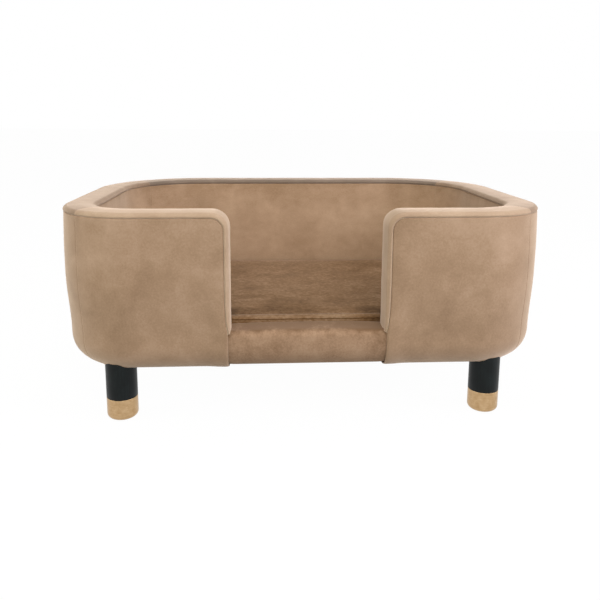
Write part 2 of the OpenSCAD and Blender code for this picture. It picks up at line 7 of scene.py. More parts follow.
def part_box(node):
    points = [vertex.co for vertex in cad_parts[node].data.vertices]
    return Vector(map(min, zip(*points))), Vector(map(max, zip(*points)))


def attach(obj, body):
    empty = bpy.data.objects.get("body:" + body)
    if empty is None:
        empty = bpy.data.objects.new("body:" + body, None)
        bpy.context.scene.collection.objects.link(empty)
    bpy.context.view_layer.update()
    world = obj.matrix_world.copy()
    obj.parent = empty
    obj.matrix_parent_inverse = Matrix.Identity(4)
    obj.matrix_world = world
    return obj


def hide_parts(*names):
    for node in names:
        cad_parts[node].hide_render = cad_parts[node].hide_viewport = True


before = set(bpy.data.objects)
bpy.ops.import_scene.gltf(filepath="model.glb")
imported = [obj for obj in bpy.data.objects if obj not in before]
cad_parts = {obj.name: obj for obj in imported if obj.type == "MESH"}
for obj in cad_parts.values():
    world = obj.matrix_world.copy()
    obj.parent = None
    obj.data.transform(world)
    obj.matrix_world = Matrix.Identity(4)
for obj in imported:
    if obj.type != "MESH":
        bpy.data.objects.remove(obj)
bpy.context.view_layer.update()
mm = 0.001

# The tub's plan and levels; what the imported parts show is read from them
tub = {
    "halfWidth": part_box("cover_side_right")[1].x,
    "halfDepth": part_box("cover_back")[1].y,
    "underside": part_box("cover_back")[0].z,
    "seamHeight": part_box("cover_back")[1].z,
    "deckHeight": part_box("lining_back")[0].z,
    "entranceHalf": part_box("sill_cover")[1].x,
    "sillHeight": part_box("sill_cover")[1].z,
    "frontRadius": 128 * mm,
    "rearRadius": 197 * mm,
    "wall": 53 * mm,
    "edgeIn": 36 * mm,  # reach of the rounded lower edge, in under the tub and up the wall
    "edgeUp": 45 * mm,
    "lean": 5 * mm,
    "leanFrom": 150 * mm,  # above the underside
    "hem": 80 * mm,  # velvet folded under, measured from the outer face
    "wingCorner": 20 * mm,
    "frontSeam": -47,  # degrees, seen from above, where the seams cross the corners
    "rearSeam": 40,
}
frontCentre = Vector((tub["halfWidth"] - tub["frontRadius"], tub["frontRadius"] - tub["halfDepth"], 0))
rearCentre = Vector((tub["halfWidth"] - tub["rearRadius"], tub["halfDepth"] - tub["rearRadius"], 0))

# How finely the velvet is divided: the usual step, the steps beside a seam, and counts down the face
grid = {
    "step": 7 * mm,
    "seamSteps": [0.8 * mm, 0.8 * mm, 1.0 * mm, 1.4 * mm, 2.0 * mm, 3.0 * mm, 4.5 * mm],
    "leanSteps": 14,
    "edgeSteps": 12,
    "hemSteps": 6,
}

# How the front seam of the capping runs on a wing's end, down towards the sill
wingEnd = {
    "narrow": 2.4 * mm,  # the capping is sewn narrower by this much
    "narrowFrom": 215 * mm,
    "narrowRun": 60 * mm,
    "point": 2.6 * mm,  # and ends in a point
    "pointFrom": 168 * mm,
    "pointRun": 13 * mm,
    "reach": 25 * mm,  # how far along the wing the velvet follows the seam
    "edgeRadius": 8 * mm,  # of the padded end's upright edge
    "leanReach": 34 * mm,
}


def rise(t):
    t = min(max(t, 0), 1)
    return t * t * (3 - 2 * t)


def stepSizes(length, fineStart, fineEnd):
    # steps that add up to the length, fine next to a seam
    head = grid["seamSteps"] if fineStart else []
    tail = grid["seamSteps"][::-1] if fineEnd else []
    rest = length - sum(head) - sum(tail)
    count = max(1, round(rest / grid["step"]))
    return head + [rest / count] * count + tail


def drawLine(bm, points, place):
    # a row of vertices joined by edges, from (inward, height) points
    verts = [bm.verts.new(place @ Vector((0, inward, height))) for inward, height in points]
    return [bm.edges.new(pair) for pair in zip(verts, verts[1:])]


def carry(bm, edges, moves):
    # extrudes the row of edges once for each move
    for move in moves:
        made = bmesh.ops.extrude_edge_only(bm, edges=edges)["geom"]
        verts = [item for item in made if isinstance(item, bmesh.types.BMVert)]
        bmesh.ops.transform(bm, matrix=move, verts=verts)
        edges = [item for item in made if isinstance(item, bmesh.types.BMEdge)]
    return edges


def wallPlace(centre, radius, degrees):
    turn = Matrix.Rotation(math.radians(degrees + 90), 4, "Z")
    return Matrix.Translation(centre) @ turn @ Matrix.Translation((0, -radius, 0))


def straight(direction, sizes):
    return [Matrix.Translation(Vector(direction) * size) for size in sizes]


def turning(centre, radius, sizes):
    there = Matrix.Translation(centre)
    back = Matrix.Translation(-centre)
    return [there @ Matrix.Rotation(size / radius, 4, "Z") @ back for size in sizes]


def wingMoves():
    # along the front from the entrance, then round the front corner to its seam
    radius = tub["frontRadius"]
    arc = radius * math.radians(90 + tub["frontSeam"])
    return (
        straight((1, 0, 0), stepSizes(frontCentre.x - tub["entranceHalf"], True, False))
        + turning(frontCentre, radius, stepSizes(arc, False, True))
    )


def sideMoves():
    frontArc = tub["frontRadius"] * math.radians(-tub["frontSeam"])
    rearArc = tub["rearRadius"] * math.radians(tub["rearSeam"])
    return (
        turning(frontCentre, tub["frontRadius"], stepSizes(frontArc, True, False))
        + straight((0, 1, 0), stepSizes(rearCentre.y - frontCentre.y, False, False))
        + turning(rearCentre, tub["rearRadius"], stepSizes(rearArc, False, True))
    )


def backMoves():
    arc = tub["rearRadius"] * math.radians(90 - tub["rearSeam"])
    leftCentre = Vector((-rearCentre.x, rearCentre.y, 0))
    return (
        turning(rearCentre, tub["rearRadius"], stepSizes(arc, True, False))
        + straight((-1, 0, 0), stepSizes(2 * rearCentre.x, False, False))
        + turning(leftCentre, tub["rearRadius"], stepSizes(arc, False, True))
    )


# Where each length of the wall starts, and the moves that sweep it
runs = {
    "wing": (Matrix.Translation((tub["entranceHalf"], -tub["halfDepth"], 0)), wingMoves()),
    "side": (wallPlace(frontCentre, tub["frontRadius"], tub["frontSeam"]), sideMoves()),
    "back": (wallPlace(rearCentre, tub["rearRadius"], tub["rearSeam"]), backMoves()),
}


def seamPlane(centre, degrees):
    angle = math.radians(degrees)
    return centre, Vector((-math.sin(angle), math.cos(angle), 0))


frontPlane = seamPlane(frontCentre, tub["frontSeam"])
rearPlane = seamPlane(rearCentre, tub["rearSeam"])


def planeGap(point, plane):
    onRight = Vector((abs(point.x), point.y, point.z))
    return abs((onRight - plane[0]).dot(plane[1]))


def endShift(height):
    # how far the seam runs over onto the end at this height
    narrowed = wingEnd["narrow"] * rise((wingEnd["narrowFrom"] - height) / wingEnd["narrowRun"])
    return narrowed + wingEnd["point"] * rise((wingEnd["pointFrom"] - height) / wingEnd["pointRun"])


def endBend(out):
    # how far in the padded end's rounded edge lies at this distance out
    radius = wingEnd["edgeRadius"]
    return radius - math.sqrt(radius ** 2 - min(max(out, 0), radius) ** 2)


def wingGap(point):
    # distance from a wing's end and top, round the wing's upper corner
    along = abs(point.x) - tub["entranceHalf"]
    along += endShift(point.z) * max(1 - along / wingEnd["reach"], 0)
    down = tub["seamHeight"] - point.z
    radius = tub["wingCorner"]
    if along < radius and down < radius:
        return radius - math.hypot(radius - along, radius - down)
    return min(along, down)


# Surface

def linear(colour):
    # sRGB hex to the linear values that the nodes take
    parts = [int(colour[i:i + 2], 16) / 255 for i in (1, 3, 5)]
    return tuple(c / 12.92 if c <= 0.04045 else ((c + 0.055) / 1.055) ** 2.4 for c in parts) + (1,)


def addNode(tree, kind, inputs=None, stops=None, **settings):
    # an input may be a value, a socket, or a node whose first output is meant
    node = tree.nodes.new("ShaderNode" + kind)
    for name, value in settings.items():
        setattr(node, name, value)
    for name, value in (inputs or {}).items():
        if isinstance(value, bpy.types.Node):
            value = value.outputs[0]
        if isinstance(value, bpy.types.NodeSocket):
            tree.links.new(value, node.inputs[name])
        else:
            node.inputs[name].default_value = value
    if stops:
        marks = node.color_ramp.elements
        while len(marks) < len(stops):
            marks.new(0.5)
        for mark, (position, colour) in zip(marks, stops):
            mark.position = position
            mark.color = linear(colour)
    return node


def newMaterial(name):
    material = bpy.data.materials.new(name)
    material.use_nodes = True
    tree = material.node_tree
    return material, tree, addNode(tree, "TexCoord").outputs["Object"]


def dress(material, tone, stops, relief, strength, distance, plain, gloss=None):
    # colours the surface by a tone, or takes it as the colour, raises it by a relief, sets what is
    # the same all over, and lets the roughness follow a pattern between two values
    tree = material.node_tree
    surface = tree.nodes["Principled BSDF"]
    colour = addNode(tree, "ValToRGB", {"Fac": tone}, stops).outputs[0] if stops else tone
    tree.links.new(colour, surface.inputs["Base Color"])
    bump = addNode(tree, "Bump", {"Height": relief, "Strength": strength, "Distance": distance})
    tree.links.new(bump.outputs[0], surface.inputs["Normal"])
    for name, value in plain.items():
        surface.inputs[name].default_value = value
    if gloss:
        worn = addNode(tree, "MapRange", {"Value": gloss[0], "To Min": gloss[1], "To Max": gloss[2]})
        tree.links.new(worn.outputs[0], surface.inputs["Roughness"])
    return material


def bandScale(length):
    # a wave texture's scale for bands that repeat at this length
    return math.pi / 10 / length


velvetLook = {
    "patch": 80 * mm,  # cloudy patches where the pile leans another way
    "mottle": 24 * mm,
    "pile": 3.2 * mm,  # the real pile is 0.3 mm; drawn coarser so that it shows
    "mottleShare": 0.38,
    "shadingShift": 0.5,  # how much the painted light and shade, kept with each piece, changes the tone
    "spread": 0.15,  # from the middle tone to the darkest, at a contrast of 1
    "bump": 0.5 * mm,
    "roughness": 0.88,
    "sheenRoughness": 0.45,
    "sheenTint": "#F0DCC8",
}


def velvet(name, dark, mid, light, combed=(1, 1, 1), contrast=0.75, sheen=0.7, grain=0.3):
    # polyester velvet, woven and cut: cloudy lighter and darker nap, a soft glow where it turns away
    material, tree, place = newMaterial(name)
    lie = addNode(tree, "Mapping", {"Vector": place, "Scale": combed})
    half = addNode(tree, "Mapping", {"Vector": place, "Scale": [(1 + c) / 2 for c in combed]})
    patches = addNode(tree, "TexNoise", {
        "Vector": place, "Scale": 1 / velvetLook["patch"], "Detail": 2, "Roughness": 0.5, "Distortion": 0.6,
    })
    mottle = addNode(tree, "TexNoise", {
        "Vector": half, "Scale": 1 / velvetLook["mottle"], "Detail": 3, "Roughness": 0.6, "Distortion": 0.4,
    })
    pile = addNode(tree, "TexNoise", {
        "Vector": lie, "Scale": 1 / velvetLook["pile"], "Detail": 3, "Roughness": 0.75,
    })
    clouds = addNode(tree, "Mix", {0: velvetLook["mottleShare"], 2: patches, 3: mottle})
    tone = addNode(tree, "Mix", {0: grain, 2: clouds, 3: pile})
    # painted light and shade, kept with each piece as an attribute, shifts the tone lighter or darker
    nap = addNode(tree, "Attribute", attribute_name="nap").outputs["Fac"]
    shifted = addNode(tree, "Math", {0: nap, 1: velvetLook["shadingShift"], 2: tone}, operation="MULTIPLY_ADD")
    relief = addNode(tree, "Mix", {0: 0.4, 2: pile, 3: mottle})
    spread = velvetLook["spread"] / contrast
    stops = [(0.5 - spread, dark), (0.5, mid), (0.5 + spread, light)]
    return dress(material, shifted, stops, relief, 0.4, velvetLook["bump"], {
        "Roughness": velvetLook["roughness"],
        "Specular IOR Level": 0.2,
        "Sheen Weight": sheen,
        "Sheen Roughness": velvetLook["sheenRoughness"],
        "Sheen Tint": linear(velvetLook["sheenTint"]),
    })


def birchPlywood():
    # rotary-cut birch veneers, glued crosswise: pale faces with long soft grain, striped edges
    material, tree, place = newMaterial("birchPlywood")
    facing = addNode(tree, "SeparateXYZ", {"Vector": tree.nodes["Texture Coordinate"].outputs["Normal"]})
    upward = addNode(tree, "Math", {0: facing.outputs["Z"]}, operation="ABSOLUTE")
    along = addNode(tree, "Mapping", {"Vector": place, "Scale": (0.08, 1, 1)})
    grain = addNode(tree, "TexNoise", {
        "Vector": along, "Scale": 1 / (4 * mm), "Detail": 4, "Distortion": 0.5,
    })
    pale = [(0.3, "#D2B488"), (0.55, "#DEC49C"), (0.75, "#E8D2AE")]
    face = addNode(tree, "ValToRGB", {"Fac": grain}, pale)
    # 1.4 mm veneers, so a light and a dark one together are 2.8 mm
    plies = addNode(tree, "TexWave", {
        "Vector": place, "Scale": bandScale(2.8 * mm), "Distortion": 0.3, "Detail": 2,
    }, bands_direction="Z").outputs["Fac"]
    striped = [(0.25, "#A47C4E"), (0.5, "#C9A878"), (0.8, "#DFC6A0")]
    edge = addNode(tree, "ValToRGB", {"Fac": plies}, striped)
    colour = addNode(tree, "Mix", {0: upward, 6: edge, 7: face}, data_type="RGBA").outputs[2]
    return dress(material, colour, None, grain, 0.2, 0.2 * mm, {"Roughness": 0.62})


def planedPine():
    # sawn and planed pine: warm yellow with darker lines of late wood, 3 mm apart
    material, tree, place = newMaterial("planedPine")
    along = addNode(tree, "Mapping", {"Vector": place, "Scale": (0.1, 1, 1)})
    rings = addNode(tree, "TexWave", {
        "Vector": along, "Scale": bandScale(3 * mm), "Distortion": 3, "Detail": 2, "Detail Scale": 1.5,
    }, bands_direction="Y").outputs["Fac"]
    stops = [(0.1, "#B98A54"), (0.45, "#D4AC74"), (0.9, "#E0BE8A")]
    return dress(material, rings, stops, rings, 0.15, 0.2 * mm, {"Roughness": 0.58})


def pressedHardboard():
    # steamed wood fibre pressed flat: even brown with short dark fibres
    material, tree, place = newMaterial("pressedHardboard")
    fibres = addNode(tree, "TexNoise", {
        "Vector": place, "Scale": 1 / (1.5 * mm), "Detail": 4, "Roughness": 0.75, "Distortion": 1.5,
    })
    stops = [(0.3, "#5E432C"), (0.52, "#7B5A3E"), (0.75, "#96724F")]
    return dress(material, fibres, stops, fibres, 0.25, 0.15 * mm, {"Roughness": 0.55})


def polyurethaneFoam():
    # open-cell foam, cast and sliced: creamy yellow and full of pores, drawn 1.6 mm wide so that they show
    material, tree, place = newMaterial("polyurethaneFoam")
    cells = addNode(tree, "TexVoronoi", {"Vector": place, "Scale": 1 / (1.6 * mm)})
    ageing = addNode(tree, "TexNoise", {"Vector": place, "Scale": 1 / (60 * mm), "Detail": 2})
    tone = addNode(tree, "Mix", {0: 0.35, 2: cells, 3: ageing})
    stops = [(0.15, "#DCC79A"), (0.4, "#EBDCB4"), (0.7, "#F4EACB")]
    return dress(material, tone, stops, cells, 0.6, 0.6 * mm, {"Roughness": 0.95})


def polyesterWadding():
    # bonded polyester fibre: off-white, fluffy, with matted strands
    material, tree, place = newMaterial("polyesterWadding")
    strands = addNode(tree, "TexNoise", {
        "Vector": place, "Scale": 1 / (5 * mm), "Detail": 6, "Roughness": 0.75, "Distortion": 2.5,
    })
    stops = [(0.3, "#D6D3CB"), (0.5, "#E7E4DC"), (0.7, "#F3F1EB")]
    return dress(material, strands, stops, strands, 0.7, 1.5 * mm, {"Roughness": 0.95, "Sheen Weight": 0.3})


def spunCloth():
    # spunbonded polypropylene cloth: black, embossed with a grid of small dots, fibres between
    material, tree, place = newMaterial("spunPolypropyleneCloth")
    dots = addNode(tree, "TexVoronoi", {"Vector": place, "Scale": 1 / (2.6 * mm), "Randomness": 0.15})
    fibres = addNode(tree, "TexNoise", {
        "Vector": place, "Scale": 1 / (6 * mm), "Detail": 6, "Roughness": 0.8, "Distortion": 3,
    })
    tone = addNode(tree, "Mix", {0: 0.4, 2: dots, 3: fibres})
    stops = [(0.2, "#1B1B1C"), (0.42, "#2A2A2B"), (0.65, "#39393A")]
    return dress(material, tone, stops, tone, 0.5, 0.4 * mm, {"Roughness": 0.82, "Sheen Weight": 0.15})


def stainedBeech():
    # turned beech under a black water stain and satin lacquer: fine pores along the grain still show
    material, tree, place = newMaterial("blackStainedBeech")
    along = addNode(tree, "Mapping", {"Vector": place, "Scale": (1, 1, 0.08)})
    pores = addNode(tree, "TexNoise", {
        "Vector": along, "Scale": 1 / (1.8 * mm), "Detail": 4, "Roughness": 0.7,
    })
    clouds = addNode(tree, "TexNoise", {"Vector": place, "Scale": 1 / (22 * mm), "Detail": 2})
    tone = addNode(tree, "Mix", {0: 0.35, 2: pores, 3: clouds})
    stops = [(0.3, "#050707"), (0.5, "#0A0F0F"), (0.7, "#131A1A")]
    return dress(material, tone, stops, pores, 0.25, 0.15 * mm, {"Specular IOR Level": 0.18},
                 (clouds, 0.34, 0.46))


def anodisedTip():
    # aluminium sleeve, turned, brushed round and anodised champagne gold: fine rings, a soft broad shine
    material, tree, place = newMaterial("champagneAnodisedAluminium")
    around = addNode(tree, "Mapping", {"Vector": place, "Scale": (0.06, 0.06, 1)})
    rings = addNode(tree, "TexNoise", {
        "Vector": around, "Scale": 1 / (0.9 * mm), "Detail": 3, "Roughness": 0.7,
    })
    handling = addNode(tree, "TexNoise", {
        "Vector": place, "Scale": 1 / (9 * mm), "Detail": 3, "Distortion": 0.6,
    })
    tone = addNode(tree, "Mix", {0: 0.5, 2: rings, 3: handling})
    stops = [(0.3, "#AA8960"), (0.5, "#BD9D75"), (0.7, "#CDAF88")]
    return dress(material, tone, stops, rings, 0.2, 0.05 * mm, {"Metallic": 1.0}, (tone, 0.24, 0.42))


def zincPlated():
    # steel, pressed or turned, with blue-white zinc plating: slightly cloudy, soft shine
    material, tree, place = newMaterial("zincPlatedSteel")
    clouds = addNode(tree, "TexNoise", {
        "Vector": place, "Scale": 1 / (5 * mm), "Detail": 4, "Distortion": 1,
    })
    stops = [(0.3, "#A4A9AE"), (0.5, "#B8BDC1"), (0.7, "#CCD0D2")]
    return dress(material, clouds, stops, clouds, 0.1, 0.05 * mm, {"Metallic": 1.0}, (clouds, 0.25, 0.5))


def mouldedNylon(name, dark, mid, light, roughness):
    # moulded or extruded nylon: even colour, fine satin grain, faint scuffs
    material, tree, place = newMaterial(name)
    grain = addNode(tree, "TexNoise", {
        "Vector": place, "Scale": 1 / (0.8 * mm), "Detail": 3, "Roughness": 0.7,
    })
    stops = [(0.3, dark), (0.5, mid), (0.72, light)]
    return dress(material, grain, stops, grain, 0.25, 0.08 * mm, {"Roughness": roughness})


def wovenTape():
    # woven polyester zip tape: ribs along its length, 0.9 mm apart, crossed by threads
    material, tree, place = newMaterial("wovenPolyesterTape")
    ribs = addNode(tree, "TexWave", {"Vector": place, "Scale": bandScale(0.9 * mm)}, bands_direction="Z")
    threads = addNode(tree, "TexWave", {"Vector": place, "Scale": bandScale(0.7 * mm)}, bands_direction="X")
    weave = addNode(tree, "Math", {0: ribs.outputs["Fac"], 1: threads.outputs["Fac"]}, operation="MULTIPLY")
    wear = addNode(tree, "TexNoise", {"Vector": place, "Scale": 1 / (20 * mm), "Detail": 3})
    tone = addNode(tree, "Mix", {0: 0.4, 2: weave, 3: wear})
    stops = [(0.1, "#4B3524"), (0.4, "#6A4E38"), (0.75, "#7E6048")]
    return dress(material, tone, stops, weave, 0.6, 0.2 * mm, {"Roughness": 0.85})


def enamelledZinc():
    # die-cast zinc slider under brown enamel: smooth, small shine, lighter where it rubs
    material, tree, place = newMaterial("enamelledZinc")
    rubbed = addNode(tree, "TexNoise", {"Vector": place, "Scale": 1 / (3 * mm), "Detail": 3})
    stops = [(0.3, "#644830"), (0.55, "#7A5B40"), (0.75, "#9A7D60")]
    plain = {"Metallic": 0.4, "Coat Weight": 0.4, "Coat Roughness": 0.2}
    return dress(material, rubbed, stops, rubbed, 0.1, 0.05 * mm, plain, (rubbed, 0.25, 0.45))


materials = {
    "face": velvet("velvetFace", "#81684F", "#957B61", "#A88E75", sheen=0.95),
    # the capping's three copies of one velvet differ by painted light: lighter on the wings for a painted
    # sheen, darker on the sides and back for painted shade
    "cap": velvet("velvetCappingPaintedLight", "#937B63", "#A38B72", "#B59E85", contrast=0.6),
    "capSide": velvet("velvetCappingSidePaintedShade", "#6E5A47", "#846E59", "#9C8771", contrast=0.8),
    "capBack": velvet("velvetCappingBackPaintedShade", "#625547", "#716254", "#837464", contrast=0.6),
    "lining": velvet("velvetLining", "#8F7458", "#AB8F73", "#BFA488", combed=(0.8, 0.8, 1.6), contrast=0.58),
    "sill": velvet("velvetSill", "#6F543B", "#967A60", "#AC9176", sheen=0.22),
    "cushion": velvet("velvetCushion", "#4C3316", "#785A3C", "#9C8063", combed=(0.42, 0.5, 1), sheen=0.2,
                      grain=0.52),
    "plywood": birchPlywood(),
    "pine": planedPine(),
    "hardboard": pressedHardboard(),
    "foam": polyurethaneFoam(),
    "wadding": polyesterWadding(),
    "cloth": spunCloth(),
    "leg": stainedBeech(),
    "tip": anodisedTip(),
    "zinc": zincPlated(),
    "glide": mouldedNylon("blackNylonGlide", "#1C1C1C", "#262626", "#333333", 0.5),
    "coil": mouldedNylon("brownNylonCoil", "#54402E", "#69513C", "#80664E", 0.35),
    "tape": wovenTape(),
    "slider": enamelledZinc(),
}
print("materials made")


# Pieces

def setPaintedShading(bm, nap):
    # painted light and shade at each point: above 0 it looks lighter, below 0 darker
    bm.normal_update()
    layer = bm.verts.layers.float.new("nap")
    for vert in bm.verts:
        vert[layer] = nap(vert)


def newObject(name, data):
    made = bpy.data.objects.new(name, data)
    bpy.context.scene.collection.objects.link(made)
    return made


def makePiece(name, bm, material, body, nodes, sharpAngle=None):
    mesh = bpy.data.meshes.new(name)
    bm.to_mesh(mesh)
    bm.free()
    mesh.polygons.foreach_set("use_smooth", [True] * len(mesh.polygons))
    if sharpAngle is not None:
        mesh.set_sharp_from_angle(angle=math.radians(sharpAngle))
    mesh.materials.append(material)
    piece = newObject(name, mesh)
    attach(piece, body)
    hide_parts(*nodes)
    return piece


def thicken(piece, thickness):
    # gives a sheet its thickness, inwards from its outer face
    cloth = piece.modifiers.new("cloth", "SOLIDIFY")
    cloth.thickness = thickness
    cloth.offset = -1


def faceOut(bm, outward):
    # turns a swept sheet so that its faces look the way that the given function says
    bm.normal_update()
    looking = [face.calc_area() * face.normal.dot(outward(face.calc_center_median())) for face in bm.faces]
    if sum(looking) < 0:
        bmesh.ops.reverse_faces(bm, faces=bm.faces[:])
    bm.normal_update()


def mirrorAcross(bm):
    bmesh.ops.scale(bm, vec=(-1, 1, 1), verts=bm.verts[:])
    bmesh.ops.reverse_faces(bm, faces=bm.faces[:])
    bm.normal_update()


panel = {
    "thickness": 1.2 * mm,
    "rollWidth": 15 * mm,
    "bulge": 1.4 * mm,
    "bulgeRun": 70 * mm,
    "puckerLength": 13 * mm,
    "puckerReach": 28 * mm,
    "wave": 0.7 * mm,
    "waveLength": 90 * mm,
    "deepest": 1.9 * mm,  # the foam lies 2.3 mm in
}
# Each kind of seam: how deep and wide it sinks, how far the foam rolls in beside it, how it puckers
deepSeam = {"depth": 1.5 * mm, "width": 2.6 * mm, "roll": 0.5 * mm, "pucker": 0.45 * mm}
sillSeam = {"depth": 1.0 * mm, "width": 2.2 * mm, "roll": 0.6 * mm, "pucker": 0.5 * mm}
cornerSeam = {"depth": 0.45 * mm, "width": 1.5 * mm, "roll": 0, "pucker": 0.25 * mm}


def groove(gap, width):
    # 1 at a seam, 0 a groove's width away, round like a turned-in edge
    t = 1 - min(max(gap / width, 0), 1)
    return 1 - math.sqrt(max(1 - t * t, 0))


def softened(bm, seams, flatBelow=None):
    # moves a swept panel in at its seams and out between them, with puckers and slow waves
    # each seam is (its kind, how it runs, the function that gives a point's distance from it)
    moved = []
    for vert in bm.verts:
        point = vert.co
        # it stays flat underneath, where it is stapled
        firm = 1 if flatBelow is None else rise((point.z - flatBelow) / (2 * tub["edgeUp"] / 3))
        ripple = {
            "level": noise.noise(Vector((point.x, point.y, point.z / 4)) / panel["puckerLength"]),
            "upright": noise.noise(Vector((point.x / 4, point.y / 4, point.z)) / panel["puckerLength"]),
        }
        deepGap = 1
        sink = 0
        out = panel["wave"] * noise.noise(point / panel["waveLength"]) * firm
        for kind, run, distance in seams:
            gap = distance(point)
            out += kind["pucker"] * ripple[run] * (1 - rise(gap / panel["puckerReach"])) * firm
            rolled = kind["roll"] * (1 - rise(gap / panel["rollWidth"]))
            sink = max(sink, rolled + kind["depth"] * groove(gap, kind["width"]))
            if kind["roll"] > 0:
                deepGap = min(deepGap, gap)
        out += panel["bulge"] * rise(deepGap / panel["bulgeRun"]) * firm
        moved.append((vert, vert.normal * max(out - sink, -panel["deepest"])))
    for vert, shift in moved:
        vert.co += shift


def finishPanel(name, bm, material, node, nap=lambda vert: 0):
    setPaintedShading(bm, nap)
    piece = makePiece(name, bm, material, "tub", [node])
    smoother = piece.modifiers.new("soft", "SUBSURF")
    smoother.levels = smoother.render_levels = 1
    smoother.boundary_smooth = "PRESERVE_CORNERS"
    thicken(piece, panel["thickness"])


legNames = ["front_left", "front_right", "rear_left", "rear_right"]
legHole = {
    "clear": 0.92,  # the velvet is cut away within this share of a leg's radius
    "overlap": 0.3 * mm,
}
legs = []
for legName in legNames:
    low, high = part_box("leg_" + legName)
    legs.append(((low.x + high.x) / 2, (low.y + high.y) / 2, (high.x - low.x) / 2))


def openForLegs(bm):
    # takes the velvet away where a leg passes through, and draws the hole's edge onto the leg
    for x, y, radius in legs:
        inside = [
            face for face in bm.faces
            if all(math.hypot(v.co.x - x, v.co.y - y) < legHole["clear"] * radius for v in face.verts)
            and face.calc_center_median().z < tub["underside"] + tub["edgeUp"]
        ]
        if not inside:
            continue
        bmesh.ops.delete(bm, geom=inside, context="FACES")
        for vert in bm.verts:
            reach = math.hypot(vert.co.x - x, vert.co.y - y)
            if vert.is_boundary and reach < radius:
                size = (radius - legHole["overlap"]) / reach
                vert.co.x = x + (vert.co.x - x) * size
                vert.co.y = y + (vert.co.y - y) * size
        bm.normal_update()


def coverSection():
    # outer face from the capping's seam down, round the lower edge and in under the tub
    height = tub["seamHeight"]
    leanTop = tub["underside"] + tub["leanFrom"]
    edgeTop = tub["underside"] + tub["edgeUp"]
    points = [(0, height)]
    for size in stepSizes(height - leanTop, True, False):
        height -= size
        points.append((0, height))
    count = grid["leanSteps"]
    for i in range(1, count + 1):
        points.append((tub["lean"] * rise(i / count), leanTop + (edgeTop - leanTop) * i / count))
    for i in range(1, grid["edgeSteps"] + 1):
        angle = math.radians(90 * i / grid["edgeSteps"])
        inward = tub["lean"] + tub["edgeIn"] * (1 - math.cos(angle))
        points.append((inward, edgeTop - tub["edgeUp"] * math.sin(angle)))
    start = tub["lean"] + tub["edgeIn"]
    for i in range(1, grid["hemSteps"] + 1):
        points.append((start + (tub["hem"] - start) * i / grid["hemSteps"], tub["underside"]))
    return points


def outwards(point):
    return Vector((point.x / tub["halfWidth"], point.y / tub["halfDepth"], 0))


def inwards(point):
    return -outwards(point)


def belowSeam(point):
    return tub["seamHeight"] - point.z


def shiftWingEnd(bm):
    # carries the outer velvet to the line of the capping's front seam
    for vert in bm.verts:
        along = abs(vert.co.x) - tub["entranceHalf"]
        vert.co.x -= endShift(vert.co.z) * max(1 - along / wingEnd["reach"], 0)
        vert.co.y += endBend(tub["entranceHalf"] - vert.co.x)
        # the end's padding doesn't lean in as the wall does, so the velvet runs out over it
        leant = rise((tub["underside"] + tub["leanFrom"] - vert.co.z) / (tub["leanFrom"] - tub["edgeUp"]))
        vert.co.y -= tub["lean"] * leant * rise(1 - along / wingEnd["leanReach"])


def roundWingCorner(bm):
    # lowers the top of a wing's panel to the rounded corner beside the entrance
    radius = tub["wingCorner"]
    foot = tub["seamHeight"] - 3 * radius
    for vert in bm.verts:
        short = radius - (abs(vert.co.x) - tub["entranceHalf"])
        if short > 0 and vert.co.z > foot:
            top = tub["seamHeight"] - radius + math.sqrt(max(radius ** 2 - short ** 2, 0))
            vert.co.z = foot + (vert.co.z - foot) * (top - foot) / (3 * radius)


def wallPanel(kind, section, outward):
    # one sheet of the wall's outer or inner face
    bm = bmesh.new()
    place, moves = runs[kind]
    carry(bm, drawLine(bm, section, place), moves)
    if kind == "wing":
        roundWingCorner(bm)
        if outward is outwards:
            shiftWingEnd(bm)
    faceOut(bm, outward)
    return bm


def frontGap(point):
    return planeGap(point, frontPlane)


def rearGap(point):
    return planeGap(point, rearPlane)


topSeam = (deepSeam, "level", belowSeam)
frontCorner = (cornerSeam, "upright", frontGap)
rearCorner = (cornerSeam, "upright", rearGap)
panelSeams = {
    "wing": [(deepSeam, "level", wingGap), frontCorner],
    "side": [topSeam, frontCorner, rearCorner],
    "back": [topSeam, rearCorner],
}


def liningSection():
    height = tub["seamHeight"]
    points = [(tub["wall"], height)]
    for size in stepSizes(height - tub["deckHeight"], True, False):
        height -= size
        points.append((tub["wall"], height))
    return points


# Painted light on the walls: the outside's top is painted lighter
coverShading = {"base": -0.08, "topShading": 0.13, "from": 150 * mm, "run": 170 * mm}
# Painted shade inside: darker towards the top, and darkest in a ragged band under the capping
liningShading = {
    "shaded": 0.24,
    "shadedFrom": 262 * mm,
    "shadedRun": 50 * mm,
    "lipShade": 0.18,
    "lipShadeFrom": 322 * mm,
    "lipShadeRun": 16 * mm,
    "ragged": 10 * mm,
    "raggedLength": 24 * mm,
}


def coverPaintedLight(vert):
    # painted light: lighter towards the top of the wall
    look = coverShading
    return look["base"] + look["topShading"] * rise((vert.co.z - look["from"]) / look["run"])


def liningPaintedShade(vert):
    look = liningShading
    ragged = look["ragged"] * noise.noise(vert.co / look["raggedLength"])
    # painted shade: darker towards the top, darkest in a ragged band just under the capping
    shaded = look["shaded"] * rise((vert.co.z + ragged / 2 - look["shadedFrom"]) / look["shadedRun"])
    return -shaded - look["lipShade"] * rise((vert.co.z + ragged - look["lipShadeFrom"]) / look["lipShadeRun"])


